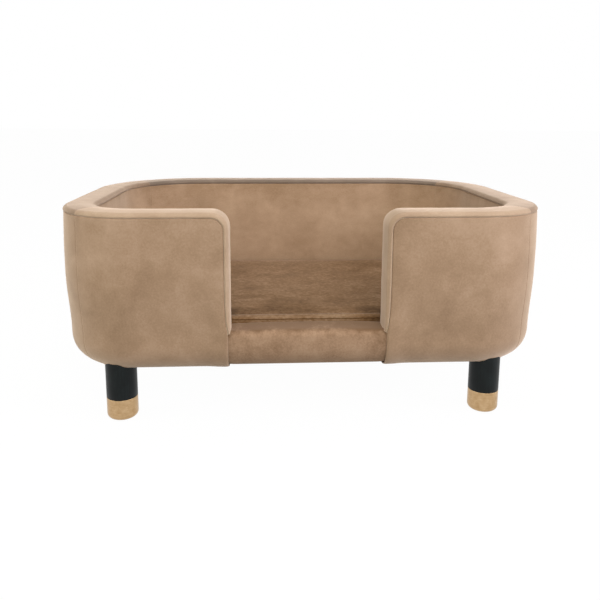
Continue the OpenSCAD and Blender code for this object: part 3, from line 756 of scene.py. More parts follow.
def makePanels(prefix, section, outward, material, flatBelow):
    # the five panels of one face of the wall: two wings, two sides and the back
    for kind in runs:
        for hand in ([None] if kind == "back" else ["left", "right"]):
            bm = wallPanel(kind, section, outward)
            if hand == "left":
                mirrorAcross(bm)
            softened(bm, panelSeams[kind], flatBelow)
            if flatBelow is not None:
                openForLegs(bm)
            words = [prefix, kind] + ([hand] if hand else [])
            name = prefix + "".join(word.capitalize() for word in words[1:])
            finishPanel(name, bm, material, "_".join(words), coverPaintedLight if flatBelow else liningPaintedShade)


makePanels("cover", coverSection(), outwards, materials["face"], tub["underside"])
makePanels("lining", liningSection(), inwards, materials["lining"], None)
print("velvet panels made")

# Sill across the entrance
sill = {
    "back": 3 * mm,  # its face lies this far behind the walls' face
    "lift": 3.5 * mm,
    "frontRadius": 10 * mm,
    "rearRadius": 6 * mm,
    "base": 0.03,  # offset of its painted light and shade
    "topShading": -0.45,  # painted shade on its top, from behind the front edge back to the cushion
    "topShadingFrom": -3 * mm,
    "topShadingRun": 20 * mm,
    "ragged": [(8 * mm, 38 * mm), (6 * mm, 9 * mm)],  # reach and length
    "cloudy": 0.1,
    "cloudLength": 16 * mm,
}


def sillSurface(inward):
    # height of the sill's top at this distance in from the outer face
    past = sill["back"] + sill["frontRadius"] - inward
    radius = sill["frontRadius"]
    if past <= 0:
        return tub["sillHeight"]
    return tub["sillHeight"] - radius + math.sqrt(max(radius ** 2 - past ** 2, (0.5 * radius) ** 2))


# Capping over the rim and down the wing ends
capping = {
    "radius": 8 * mm,
    "proud": 0.8 * mm,
    "proudRun": 3 * mm,
    "crown": 1.4 * mm,
    "turnIn": 1.9 * mm,
    "turnWidth": 2.8 * mm,
    "crossGroove": 0.4 * mm,
    "wave": 0.35 * mm,
    "waveLength": 22 * mm,
    "endDepth": 1.5 * mm,  # how far its ends reach under the sill's velvet
    "endLowest": 154.5 * mm,
    "endShare": 0.86,  # the capping is pulled thinner over the wing's end than along the rim
    "bend": [0, 6, 12, 20, 30, 42, 55, 67, 79, 90],  # degrees round its two edges
    "flatSteps": 8,
    "cornerSteps": 9,
}


def cappingSection():
    # across the wall's top, from the outer seam to the inner one, as (inward, up)
    radius = capping["radius"]
    flat = tub["wall"] - 2 * radius
    points = []
    for degrees in capping["bend"]:
        angle = math.radians(degrees)
        run = radius * angle
        out = capping["proud"] * rise(run / capping["proudRun"])
        out -= capping["turnIn"] * groove(run, capping["turnWidth"])
        reach = radius + out
        points.append((radius - reach * math.cos(angle), reach * math.sin(angle)))
    for i in range(1, capping["flatSteps"]):
        t = i / capping["flatSteps"]
        up = radius + capping["proud"] + capping["crown"] * math.sin(math.pi * t)
        points.append((radius + flat * t, up))
    outer = points[:len(capping["bend"])]
    return points + [(tub["wall"] - inward, up) for inward, up in reversed(outer)]


def cappingWing():
    # up the wing's end, over its corner and along the front to the seam
    bm = bmesh.new()
    radius = tub["wingCorner"]
    bottom = tub["sillHeight"] - 2 * sill["frontRadius"]
    corner = Vector((tub["entranceHalf"] + radius, 0, tub["seamHeight"] - radius))
    lying = Matrix.Translation((tub["entranceHalf"], -tub["halfDepth"], bottom))
    lying = lying @ Matrix.Rotation(math.radians(-90), 4, "Y")
    edges = drawLine(bm, cappingSection(), lying)
    edges = carry(bm, edges, straight((0, 0, 1), stepSizes(corner.z - bottom, False, False)))
    turn = Matrix.Rotation(math.radians(90 / capping["cornerSteps"]), 4, "Y")
    bend = Matrix.Translation(corner) @ turn @ Matrix.Translation(-corner)
    edges = carry(bm, edges, [bend] * capping["cornerSteps"])
    arc = tub["frontRadius"] * math.radians(90 + tub["frontSeam"])
    carry(bm, edges, straight((1, 0, 0), stepSizes(frontCentre.x - corner.x, False, False))
          + turning(frontCentre, tub["frontRadius"], stepSizes(arc, False, True)))
    # down the end it is drawn thinner and narrower, and stops in the sill
    for vert in bm.verts:
        out = tub["entranceHalf"] - vert.co.x
        if out < -mm:
            continue
        lowest = max(sillSurface(vert.co.y + tub["halfDepth"]) - capping["endDepth"], capping["endLowest"])
        vert.co.z = max(vert.co.z, lowest)
        thinner = capping["endShare"] + (1 - capping["endShare"]) * rise((vert.co.z - corner.z) / radius)
        out = min(out * thinner, out)
        atFront = rise((tub["wall"] / 2 - vert.co.y - tub["halfDepth"]) / (tub["wall"] / 2))
        narrowed = out + endShift(vert.co.z) * atFront * max(1 - out / capping["radius"], 0)
        vert.co.x = tub["entranceHalf"] - narrowed
        vert.co.y += atFront * (endBend(narrowed) - endBend(out))
    return bm


def cappingRun(kind):
    bm = bmesh.new()
    place, moves = runs[kind]
    lifted = Matrix.Translation((0, 0, tub["seamHeight"])) @ place
    carry(bm, drawLine(bm, cappingSection(), lifted), moves)
    return bm


def finishCapping(name, bm, node, gap, material):
    bm.normal_update()
    moved = []
    for vert in bm.verts:
        wave = noise.noise(vert.co / capping["waveLength"])
        out = capping["wave"] * wave - capping["crossGroove"] * groove(gap(vert.co), cornerSeam["width"])
        # its edges are held by the seams
        moved.append((vert, vert.normal * (0 if vert.is_boundary and out < 0 else out)))
    for vert, shift in moved:
        vert.co += shift
    finishPanel(name, bm, material, node)


def upwards(point):
    # the same at every point
    return Vector((0, 0, 1))


def wingCappingGap(point):
    return frontGap(point) if point.z > tub["seamHeight"] - tub["wingCorner"] else 1


def sideCappingGap(point):
    return min(frontGap(point), rearGap(point))


def makeCapping():
    for hand in ["left", "right"]:
        for kind, bm, gap, material in (
            ("wing", cappingWing(), wingCappingGap, materials["cap"]),
            ("side", cappingRun("side"), sideCappingGap, materials["capSide"]),
        ):
            faceOut(bm, upwards)
            if hand == "left":
                mirrorAcross(bm)
            name = "cap" + kind.capitalize() + hand.capitalize()
            finishCapping(name, bm, "cap_" + kind + "_" + hand, gap, material)
    back = cappingRun("back")
    faceOut(back, upwards)
    finishCapping("capBack", back, "cap_back", rearGap, materials["capBack"])


makeCapping()
print("capping made")


def arcPoints(inward, height, radius, fromAngle, toAngle, count):
    turn = [math.radians(fromAngle + (toAngle - fromAngle) * i / count) for i in range(count + 1)]
    return [(inward + radius * math.cos(angle), height + radius * math.sin(angle)) for angle in turn]


def sillSection():
    # from the deck up the rear face, over the top, down the face and in under the tub
    top = tub["sillHeight"]
    under = tub["underside"] + sill["lift"]
    rear = tub["wall"] - sill["rearRadius"]
    front = sill["back"] + sill["frontRadius"]
    points = [(tub["wall"], tub["deckHeight"] + (top - sill["rearRadius"] - tub["deckHeight"]) * i / 6)
              for i in range(6)]
    points += arcPoints(rear, top - sill["rearRadius"], sill["rearRadius"], 0, 90, 5)
    points += [(rear + (front - rear) * i / 6, top) for i in range(1, 6)]
    points += arcPoints(front, top - sill["frontRadius"], sill["frontRadius"], 90, 180, 7)
    edgeTop = under + tub["edgeUp"]
    points += [(sill["back"], edgeTop + (top - sill["frontRadius"] - edgeTop) * i / 3) for i in (2, 1)]
    for i in range(grid["edgeSteps"] + 1):
        angle = math.radians(90 * i / grid["edgeSteps"])
        inward = sill["back"] + tub["edgeIn"] * (1 - math.cos(angle))
        points.append((inward, edgeTop - tub["edgeUp"] * math.sin(angle)))
    start = sill["back"] + tub["edgeIn"]
    points += [(start + 1.5 * mm, under - sill["lift"] / 2), (start + 4 * mm, tub["underside"])]
    points += [(start + (tub["hem"] - start) * i / 4, tub["underside"]) for i in range(1, 5)]
    return points


def sillPaintedShade(vert):
    # painted shade: the top darker than the face, from behind its front edge back to the cushion
    ragged = sum(reach * noise.noise(vert.co / length) for reach, length in sill["ragged"])
    behind = rise((vert.co.y + tub["halfDepth"] + ragged - sill["topShadingFrom"]) / sill["topShadingRun"])
    cloudy = sill["cloudy"] * noise.noise(vert.co / sill["cloudLength"])
    return sill["base"] + (sill["topShading"] - cloudy) * behind * rise((vert.normal.z + 0.3) / 0.7)


def fromSillMiddle(point):
    middle = (tub["underside"] + tub["sillHeight"]) / 2
    return point - Vector((0, tub["wall"] / 2 - tub["halfDepth"], middle))


def sillEndGap(point):
    return tub["entranceHalf"] - abs(point.x)


def makeSill():
    bm = bmesh.new()
    half = tub["entranceHalf"]
    place = Matrix.Translation((-half, -tub["halfDepth"], 0))
    carry(bm, drawLine(bm, sillSection(), place), straight((1, 0, 0), stepSizes(2 * half, True, True)))
    faceOut(bm, fromSillMiddle)
    softened(bm, [(sillSeam, "upright", sillEndGap)], tub["underside"] + sill["lift"])
    finishPanel("sillCover", bm, materials["sill"], "sill_cover", sillPaintedShade)


makeSill()
print("sill made")

# Cushion: three velvet panels over a pad, with a flat welt along its upper seam and a zip behind
cushion = {
    "inset": 57 * mm,  # from the tub's outer face
    "base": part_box("cushion_bottom")[0].z,
    "low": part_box("cushion_boxing")[0].z,
    "lowSeam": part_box("cushion_boxing")[0].z + 1.5 * mm,
    "weltLow": 158.2 * mm,  # a line of topstitching
    "weltHigh": 163.0 * mm,  # the seam between the upper panel and the side
    "seamCuts": [-1.2 * mm, -0.6 * mm, 0, 0.6 * mm, 1.2 * mm],  # the skin is cut here beside each seam
    "startIn": 1.5 * mm,  # the block that swells starts this much smaller
    "voxel": 5 * mm,
    "pressure": 4.0,
    "frames": 20,
    "rise": 8.5 * mm,  # how far the top may swell
    "crownReach": 60 * mm,
    "spread": 2.5 * mm,  # how far the sides may swell
    "held": 4 * mm,  # reach of the stiff seams
    "wave": 0.9 * mm,
    "waveLength": 55 * mm,
    "sideReach": 9 * mm,  # how far in from its outline the skin counts as the side
    "grooveDepth": 1.7 * mm,
    "grooveWidth": 1.2 * mm,
    "stitchDepth": 1.1 * mm,
    "sideBulge": 1.3 * mm,
    "bulgeLevel": 154 * mm,
    "bulgeReach": 9 * mm,
    "pucker": 0.5 * mm,
    "puckerLength": 16 * mm,
    "puckerReach": 18 * mm,
    "thickness": 1.2 * mm,
    "padIn": 2.8 * mm,
}
# Where the filling is fuller or flatter than elsewhere: its place, reach and height
cushionLumps = [
    ((170 * mm, 160 * mm), 120 * mm, 4.5 * mm),
    ((-40 * mm, 150 * mm), 130 * mm, -1.2 * mm),
    ((-150 * mm, -60 * mm), 110 * mm, 1.6 * mm),
    ((60 * mm, -110 * mm), 90 * mm, -1.5 * mm),
]
# Painted light and shade on it: painted shade over the front slope, painted shadow towards the ends of the
# entrance, a painted highlight above the upper seam, the side painted lighter, and painted shade in its
# seams
cushionShading = {
    # painted shade over the front slope
    "front": -0.16,
    "frontFrom": 158 * mm,  # from the tub's middle towards its front
    "frontRun": 26 * mm,
    "ragged": 9 * mm,
    "raggedLength": (30 * mm, 14 * mm),
    # painted shadow of the wings towards the ends of the entrance
    "ends": -0.36,
    "endShadeFrom": 70 * mm,
    "endShadeRun": 60 * mm,
    "endShadeTo": 135 * mm,
    "endShadeFade": 80 * mm,
    # painted highlight just above the upper seam
    "crest": 0.12,
    "crestHighlightRun": 2.5 * mm,
    # the side painted lighter, with painted shade towards its ends
    "side": 0.16,
    "sideLightFrom": 140 * mm,
    "sideRun": 10 * mm,
    "sideEndShade": -0.3,
    "sideEndShadeRun": 100 * mm,
    # painted shade in the seam grooves
    "seamShadeWidth": 1.3 * mm,
}
zipper = {
    "length": 400 * mm,
    "slot": 14 * mm,
    "tape": 11 * mm,
    "tapeThickness": 0.5 * mm,
    "tapeWave": 0.15 * mm,
    "tapeWaveLength": 12 * mm,
    "gap": 0.6 * mm,  # from the zip's middle to each tape
    "pitch": 1.6 * mm,
    "turns": 8,  # of the coil that is made once and then repeated
    "wire": 0.34 * mm,
    "loop": 1.9 * mm,
    "hooked": 0.35 * mm,  # how far each loop reaches into the other coil's
    "flat": 0.5,
    "coilDeep": 2 * mm,
    "room": (215 * mm, 70 * mm),  # where the pad stands back for it: half the length, reach
    "roomHeight": 12 * mm,
    "roomRun": 6 * mm,
    "roomDepth": 5 * mm,
    "level": (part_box("zip_tape")[0].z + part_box("zip_tape")[1].z) / 2,
}


def roundedBlock(inset, low, high):
    # a block on the tub's plan, with its four upright edges bevelled to the corner radii
    bm = bmesh.new()
    bmesh.ops.create_cube(bm, size=1)
    width, depth = 2 * (tub["halfWidth"] - inset), 2 * (tub["halfDepth"] - inset)
    bmesh.ops.scale(bm, vec=(width, depth, high - low), verts=bm.verts[:])
    bmesh.ops.translate(bm, vec=(0, 0, (low + high) / 2), verts=bm.verts[:])
    for side, radius in ((-1, tub["frontRadius"] - inset), (1, tub["rearRadius"] - inset)):
        upright = [
            edge for edge in bm.edges
            if abs(edge.verts[0].co.z - edge.verts[1].co.z) > 1e-6
            and edge.verts[0].co.y * side > depth / 2 - 1e-6
        ]
        bmesh.ops.bevel(bm, geom=upright, offset=radius, offset_type="OFFSET", affect="EDGES",
                        segments=14, profile=0.5, material=-1)
    return bm


def edgeDistance(point, inset):
    # distance from the plan's outline, drawn in by the inset
    radius = tub["rearRadius"] if point.y > 0 else tub["frontRadius"]
    x = abs(point.x) - tub["halfWidth"] + radius
    y = abs(point.y) - tub["halfDepth"] + radius
    if x > 0 and y > 0:
        return radius - inset - math.hypot(x, y)
    return radius - inset - max(x, y)


def remeshed(bm, voxel):
    mesh = bpy.data.meshes.new("cushionStart")
    bm.to_mesh(mesh)
    bm.free()
    block = newObject("cushionStart", mesh)
    remesh = block.modifiers.new("voxels", "REMESH")
    remesh.mode = "VOXEL"
    remesh.voxel_size = voxel
    graph = bpy.context.evaluated_depsgraph_get()
    block.data = bpy.data.meshes.new_from_object(block.evaluated_get(graph))
    block.modifiers.clear()
    return block


def swollen(block):
    # blows the block up like a stuffed cover whose seams hold
    start = [vert.co.copy() for vert in block.data.vertices]
    seam = block.vertex_groups.new(name="seam")
    inset = cushion["inset"] + cushion["startIn"]
    for vert in block.data.vertices:
        nearEdge = edgeDistance(vert.co, inset) < cushion["held"]
        nearLevel = vert.co.z > cushion["weltLow"] - mm or vert.co.z < cushion["low"] + cushion["held"]
        if nearEdge and nearLevel:
            seam.add([vert.index], 1, "REPLACE")
    cloth = block.modifiers.new("cloth", "CLOTH")
    cloth.settings.quality = 5
    cloth.settings.mass = 0.3
    cloth.settings.use_pressure = True
    cloth.settings.uniform_pressure_force = cushion["pressure"]
    cloth.settings.effector_weights.gravity = 0
    cloth.settings.vertex_group_mass = "seam"
    cloth.point_cache.frame_start = 1
    cloth.point_cache.frame_end = cushion["frames"]
    scene = bpy.context.scene
    for number in range(1, cushion["frames"] + 1):
        scene.frame_set(number)
    graph = bpy.context.evaluated_depsgraph_get()
    end = [vert.co.copy() for vert in block.evaluated_get(graph).data.vertices]
    block.modifiers.clear()
    scene.frame_set(1)
    for vert, first, last in zip(block.data.vertices, start, end):
        move = last - first
        side = math.hypot(move.x, move.y)
        most = cushion["spread"] * (1 - math.exp(-side / cushion["spread"]))
        scale = most / side if side > 0 else 0
        up = cushion["rise"] * (1 - math.exp(-abs(move.z) / cushion["rise"]))
        vert.co = first + Vector((move.x * scale, move.y * scale, math.copysign(up, move.z)))


def cut(bm, direction, places):
    # slices the skin across the direction at each place
    for place in places:
        bmesh.ops.bisect_plane(bm, geom=bm.verts[:] + bm.edges[:] + bm.faces[:],
                               plane_co=Vector(direction) * place, plane_no=direction)


def cushionPaintedLight(vert):
    look = cushionShading
    # painted light and shade: darker front slope and ends, lighter crest and side, dark seam grooves
    x, y, z = vert.co
    along, across = look["raggedLength"]
    ragged = look["ragged"] * noise.noise(Vector((x / along, y / across, 3)))
    front = rise((-y - look["frontFrom"] + ragged) / look["frontRun"])
    ends = rise((abs(x) - look["endShadeFrom"]) / look["endShadeRun"])
    ends *= 1 - rise((abs(x) - look["endShadeTo"]) / look["endShadeFade"])
    seamShade = 0
    if edgeDistance(vert.co, cushion["inset"]) <= cushion["sideReach"]:
        nearest = min(abs(z - cushion["weltLow"]), abs(z - cushion["weltHigh"]))
        seamShade = groove(nearest, look["seamShadeWidth"])
    if z < cushion["weltHigh"]:
        side = look["side"] * rise((z - look["sideLightFrom"]) / look["sideRun"])
        return side + look["sideEndShade"] * ends * rise(-y / look["sideEndShadeRun"]) - seamShade
    crest = look["crest"] * (1 - rise((z - cushion["weltHigh"]) / look["crestHighlightRun"]))
    return crest + front * (look["front"] + look["ends"] * ends) - seamShade


def stuffedShape():
    # the whole cushion as one closed skin, swollen, lumpy and with its welt and seams pressed in
    start = roundedBlock(cushion["inset"] + cushion["startIn"], cushion["low"], cushion["weltHigh"])
    block = remeshed(start, cushion["voxel"])
    swollen(block)
    bm = bmesh.new()
    bm.from_mesh(block.data)
    bpy.data.objects.remove(block)
    crown = 0
    for vert in bm.verts:
        inside = rise(edgeDistance(vert.co, cushion["inset"]) / cushion["crownReach"])
        if vert.co.z > cushion["weltHigh"] - 2 * mm:
            vert.co.z += crown * inside
            for (x, y), reach, height in cushionLumps:
                vert.co.z += height * inside * rise(1 - math.hypot(vert.co.x - x, vert.co.y - y) / reach)
            vert.co.z += cushion["wave"] * inside * noise.noise(vert.co / cushion["waveLength"])
        vert.co.z = max(vert.co.z, cushion["base"])
    levels = [cushion["lowSeam"] + cushion["seamCuts"][0]]
    for seam in (cushion["lowSeam"], cushion["weltLow"], cushion["weltHigh"]):
        levels += [seam + step for step in cushion["seamCuts"]]
    cut(bm, (0, 0, 1), levels)
    setPaintedShading(bm, cushionPaintedLight)
    moved = []
    for vert in bm.verts:
        if edgeDistance(vert.co, cushion["inset"]) > cushion["sideReach"]:
            continue
        x, y, z = vert.co
        ripple = cushion["pucker"] * noise.noise(Vector((x, y, z / 5)) / cushion["puckerLength"])
        near = min(abs(z - cushion["lowSeam"]), abs(z - cushion["weltHigh"]))
        out = ripple * (1 - rise(near / cushion["puckerReach"]))
        out -= cushion["grooveDepth"] * groove(near, cushion["grooveWidth"])
        out -= cushion["stitchDepth"] * groove(abs(z - cushion["weltLow"]), cushion["grooveWidth"])
        out += cushion["sideBulge"] * (1 - rise(abs(z - cushion["bulgeLevel"]) / cushion["bulgeReach"]))
        level = Vector((vert.normal.x, vert.normal.y, 0))
        if level.length > 0.1:
            moved.append((vert, level.normalized() * out))
    for vert, shift in moved:
        vert.co += shift
    return bm


def keepPart(whole, low, high):
    part = whole.copy()
    away = [face for face in part.faces if not low < face.calc_center_median().z < high]
    bmesh.ops.delete(part, geom=away, context="FACES")
    return part


def finishCushion(name, bm, node):
    piece = makePiece(name, bm, materials["cushion"], "cushion", [node])
    thicken(piece, cushion["thickness"])


def makeCushion():
    whole = stuffedShape()
    boxing = keepPart(whole, cushion["lowSeam"], cushion["weltHigh"])
    slotLow = zipper["level"] - zipper["slot"] / 2
    slotHigh = zipper["level"] + zipper["slot"] / 2
    slotEnd = zipper["length"] / 2
    cut(boxing, (0, 0, 1), [slotLow, slotHigh])
    cut(boxing, (1, 0, 0), [-slotEnd, slotEnd])
    slot = []
    for face in boxing.faces:
        middle = face.calc_center_median()
        if middle.y > 0 and abs(middle.x) < slotEnd and slotLow < middle.z < slotHigh:
            slot.append(face)
    bmesh.ops.delete(boxing, geom=slot, context="FACES")
    finishCushion("cushionTop", keepPart(whole, cushion["weltHigh"], 1), "cushion_top")
    finishCushion("cushionBoxing", boxing, "cushion_boxing")
    finishCushion("cushionBottom", keepPart(whole, 0, cushion["lowSeam"]), "cushion_bottom")
    whole.normal_update()
    halfRoom, reach = zipper["room"]
    for vert in whole.verts:
        inner = vert.co - vert.normal * cushion["padIn"]
        if vert.co.y > 0 and abs(vert.co.x) < halfRoom and edgeDistance(vert.co, 0) < reach:
            above = abs(vert.co.z - zipper["level"]) - zipper["roomHeight"]
            inner.y -= zipper["roomDepth"] * (1 - rise(above / zipper["roomRun"]))
        vert.co = inner
    pad = makePiece("cushionPad", whole, materials["wadding"], "cushion",
                    ["cushion_core", "cushion_wadding"])


makeCushion()
print("cushion made")


def makeTapes():
    # two woven tapes behind the slot
    tapes = bmesh.new()
    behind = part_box("zip_tape")[1].y
    for side in (-1, 1):
        made = bmesh.ops.create_grid(tapes, x_segments=100, y_segments=4, size=0.5)["verts"]
        bmesh.ops.scale(tapes, vec=(zipper["length"], zipper["tape"], 1), verts=made)
        bmesh.ops.rotate(tapes, matrix=Matrix.Rotation(math.radians(90), 3, "X"), verts=made)
        level = zipper["level"] + side * (zipper["gap"] + zipper["tape"] / 2)
        bmesh.ops.translate(tapes, vec=(0, behind - zipper["coilDeep"], level), verts=made)
        for vert in made:
            vert.co.y += zipper["tapeWave"] * noise.noise(vert.co / zipper["tapeWaveLength"])
    bmesh.ops.recalc_face_normals(tapes, faces=tapes.faces[:])
    piece = makePiece("zipTapes", tapes, materials["tape"], "cushion", ["zip_tape"])
    thicken(piece, zipper["tapeThickness"])


def makeCoils():
    # a nylon coil on each tape, their loops hooked into one another
    coils = bmesh.new()
    turns, pitch = zipper["turns"], zipper["pitch"]
    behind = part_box("zip_tape")[1].y
    runs = round(zipper["length"] / pitch / turns) - 1
    for side in (-1, 1):
        start = Vector((-runs * turns * pitch / 2 + side * pitch / 4, 0, 0))
        before = set(coils.verts)
        made = bmesh.ops.create_circle(coils, segments=4, radius=zipper["wire"])["verts"]
        for axis in "XZ":
            bmesh.ops.rotate(coils, matrix=Matrix.Rotation(math.radians(90), 3, axis), verts=made)
        bmesh.ops.translate(coils, vec=start + Vector((0, 0, zipper["loop"])), verts=made)
        wire = list({edge for vert in made for edge in vert.link_edges})
        bmesh.ops.spin(coils, geom=list(made) + wire, cent=start, axis=(1, 0, 0), dvec=(pitch / 8, 0, 0),
                       angle=math.radians(360 * turns), steps=8 * turns)
        loop = [vert for vert in coils.verts if vert not in before]
        bmesh.ops.scale(coils, vec=(1, zipper["flat"], 1), verts=loop)
        middle = zipper["level"] + side * (zipper["loop"] - zipper["hooked"])
        bmesh.ops.translate(coils, vec=(0, behind - zipper["coilDeep"] / 2, middle), verts=loop)
        run = loop + list({face for vert in loop for face in vert.link_faces})
        for number in range(1, runs):
            copied = bmesh.ops.duplicate(coils, geom=run)["geom"]
            verts = [item for item in copied if isinstance(item, bmesh.types.BMVert)]
            bmesh.ops.translate(coils, vec=(number * turns * pitch, 0, 0), verts=verts)
    bmesh.ops.remove_doubles(coils, verts=coils.verts[:], dist=0.02 * mm)
    bmesh.ops.recalc_face_normals(coils, faces=coils.faces[:])
    makePiece("zipCoil", coils, materials["coil"], "cushion", [])


def bevelledBox(bm, low, high, bevel):
    # a small block with rounded edges between two corners
    made = bmesh.ops.create_cube(bm, size=1)["verts"]
    low, high = Vector(low), Vector(high)
    bmesh.ops.scale(bm, vec=high - low, verts=made)
    bmesh.ops.translate(bm, vec=(low + high) / 2, verts=made)
    edges = {edge for vert in made for edge in vert.link_edges}
    bmesh.ops.bevel(bm, geom=list(edges), offset=bevel, offset_type="OFFSET", affect="EDGES", segments=3,
                    profile=0.5, material=-1)


slider = {
    "plate": 1.2 * mm,
    "edge": 0.4 * mm,
    "tail": 0.72,  # its height as a share of the nose's
    "wedgeFrom": 4 * mm,  # behind the nose
    "wedgeTo": 0.6 * mm,
    "wedgeHalf": 0.5 * mm,
    "lug": 0.9 * mm,  # how far it stands out
    "lugHalf": (2.5 * mm, 1.5 * mm),
}


def makeSlider():
    # two plates that widen towards the nose, a wedge between them and a lug on the outer one
    low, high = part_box("zip_slider")
    plate, edge, half = slider["plate"], slider["edge"], slider["wedgeHalf"]
    face = high.y - slider["lug"]
    level = zipper["level"]
    bm = bmesh.new()
    bevelledBox(bm, (low.x, face - plate, low.z), (high.x, face, high.z), edge)
    bevelledBox(bm, (low.x, low.y, low.z), (high.x, low.y + plate, high.z), edge)
    for vert in bm.verts:
        share = (vert.co.x - low.x) / (high.x - low.x)
        height = slider["tail"] + (1 - slider["tail"]) * rise(share * 1.6)
        vert.co.z = level + (vert.co.z - level) * height
    bevelledBox(bm, (high.x - slider["wedgeFrom"], low.y + half, level - half),
                (high.x - slider["wedgeTo"], face - half, level + half), edge / 2)
    centre = (low.x + high.x) / 2
    lugX, lugZ = slider["lugHalf"]
    bevelledBox(bm, (centre - lugX, face - edge, level - lugZ), (centre + lugX, high.y, level + lugZ), edge)
    bmesh.ops.recalc_face_normals(bm, faces=bm.faces[:])
    makePiece("zipSlider", bm, materials["slider"], "slider", ["zip_slider"], 40)


makeTapes()
makeCoils()
makeSlider()
print("zip made")

# Cloths, stretched and stapled
cloths = {
    "deck": {"node": "deck_cloth", "inset": 53.3 * mm, "sag": 0.1 * mm, "on": "base_panel"},
    "dust": {"node": "dust_cover", "inset": 72 * mm, "sag": 0.7 * mm, "on": "base_ring"},
    "thickness": 0.6 * mm,
    "rings": 34,  # rows of faces from the edge to the middle
    "longest": 60 * mm,  # straight sides longer than this are divided
    "stapleGap": 45 * mm,
    "stapleAround": 0.35,  # metres of edge for each radian, roughly
    "pinch": 0.25 * mm,
    "pinchReach": 30 * mm,
    "waveLength": 70 * mm,
    "slack": 0.5 * mm,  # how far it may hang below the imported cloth
}


def clothEdge(inset):
    # the plan's outline as a closed row of edges: the border of a bevelled rectangle
    shape = roundedBlock(inset, 0, 1)
    shape.normal_update()
    away = [face for face in shape.faces if face.normal.z > -0.5]
    bmesh.ops.delete(shape, geom=away, context="FACES")
    long = [edge for edge in shape.edges if edge.calc_length() > cloths["longest"]]
    bmesh.ops.subdivide_edges(shape, edges=long, cuts=24)
    bmesh.ops.delete(shape, geom=shape.faces[:], context="FACES_ONLY")
    return shape


def makeCloth(name, look):
    low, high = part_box(look["node"])
    inset = look["inset"]
    bm = clothEdge(inset)
    bmesh.ops.translate(bm, vec=(0, 0, (low.z + high.z) / 2), verts=bm.verts[:])
    edges = bm.edges[:]
    count = cloths["rings"] + 1
    for number in range(cloths["rings"]):
        share = (count - number - 1) / (count - number)
        edges = carry(bm, edges, [Matrix.Diagonal((share, share, 1, 1))])
    bmesh.ops.contextual_create(bm, geom=edges)
    for vert in bm.verts:
        around = math.atan2(vert.co.y, vert.co.x) * cloths["stapleAround"]
        held = 1 - rise(edgeDistance(vert.co, inset) / cloths["pinchReach"])
        pinch = math.sin(2 * math.pi * around / cloths["stapleGap"]) * cloths["pinch"] * held
        vert.co.z += pinch - look["sag"] * (1 - held) * (0.6 + noise.noise(vert.co / cloths["waveLength"]))
        vert.co.z = max(vert.co.z, low.z - cloths["slack"])
    bmesh.ops.recalc_face_normals(bm, faces=bm.faces[:])
    piece = makePiece(name, bm, materials["cloth"], "tub", [look["node"]])
    thicken(piece, cloths["thickness"])


makeCloth("deckCloth", cloths["deck"])
makeCloth("dustCover", cloths["dust"])
print("cloths made")

# Legs
leg = {
    "edge": 0.6 * mm,
    "spigot": 23.3 * mm,
    "foot": 12 * mm,  # solid part of a tip
    "boltHole": 4.1 * mm,
    "boltDepth": 38 * mm,
    "tipEdge": 8 * mm,
    "tipWall": 1.6 * mm,
    "tipLip": 0.1 * mm,
    "glideHole": 12.1 * mm,
    "glideIn": 2 * mm,
    "glideOut": 1.5 * mm,
    "glide": [(0, 0), (10 * mm, 0), (11.4 * mm, 0.35 * mm), (12 * mm, 1.2 * mm)],  # its profile, (out, up)
    "steps": 64,
}


def turned(bm, profile, x, y):
    # turns an (out, up) profile round an upright axis through x, y
    verts = [bm.verts.new((out, 0, up)) for out, up in profile]
    edges = [bm.edges.new(pair) for pair in zip(verts, verts[1:])]
    before = set(bm.verts) - set(verts)
    bmesh.ops.spin(bm, geom=verts + edges, cent=(0, 0, 0), axis=(0, 0, 1), dvec=(0, 0, 0),
                   angle=math.radians(360), steps=leg["steps"], use_merge=True)
    made = [vert for vert in bm.verts if vert not in before]
    bmesh.ops.translate(bm, vec=(x, y, 0), verts=made)
    bmesh.ops.remove_doubles(bm, verts=made, dist=0.01 * mm)
    bmesh.ops.recalc_face_normals(bm, faces=bm.faces[:])


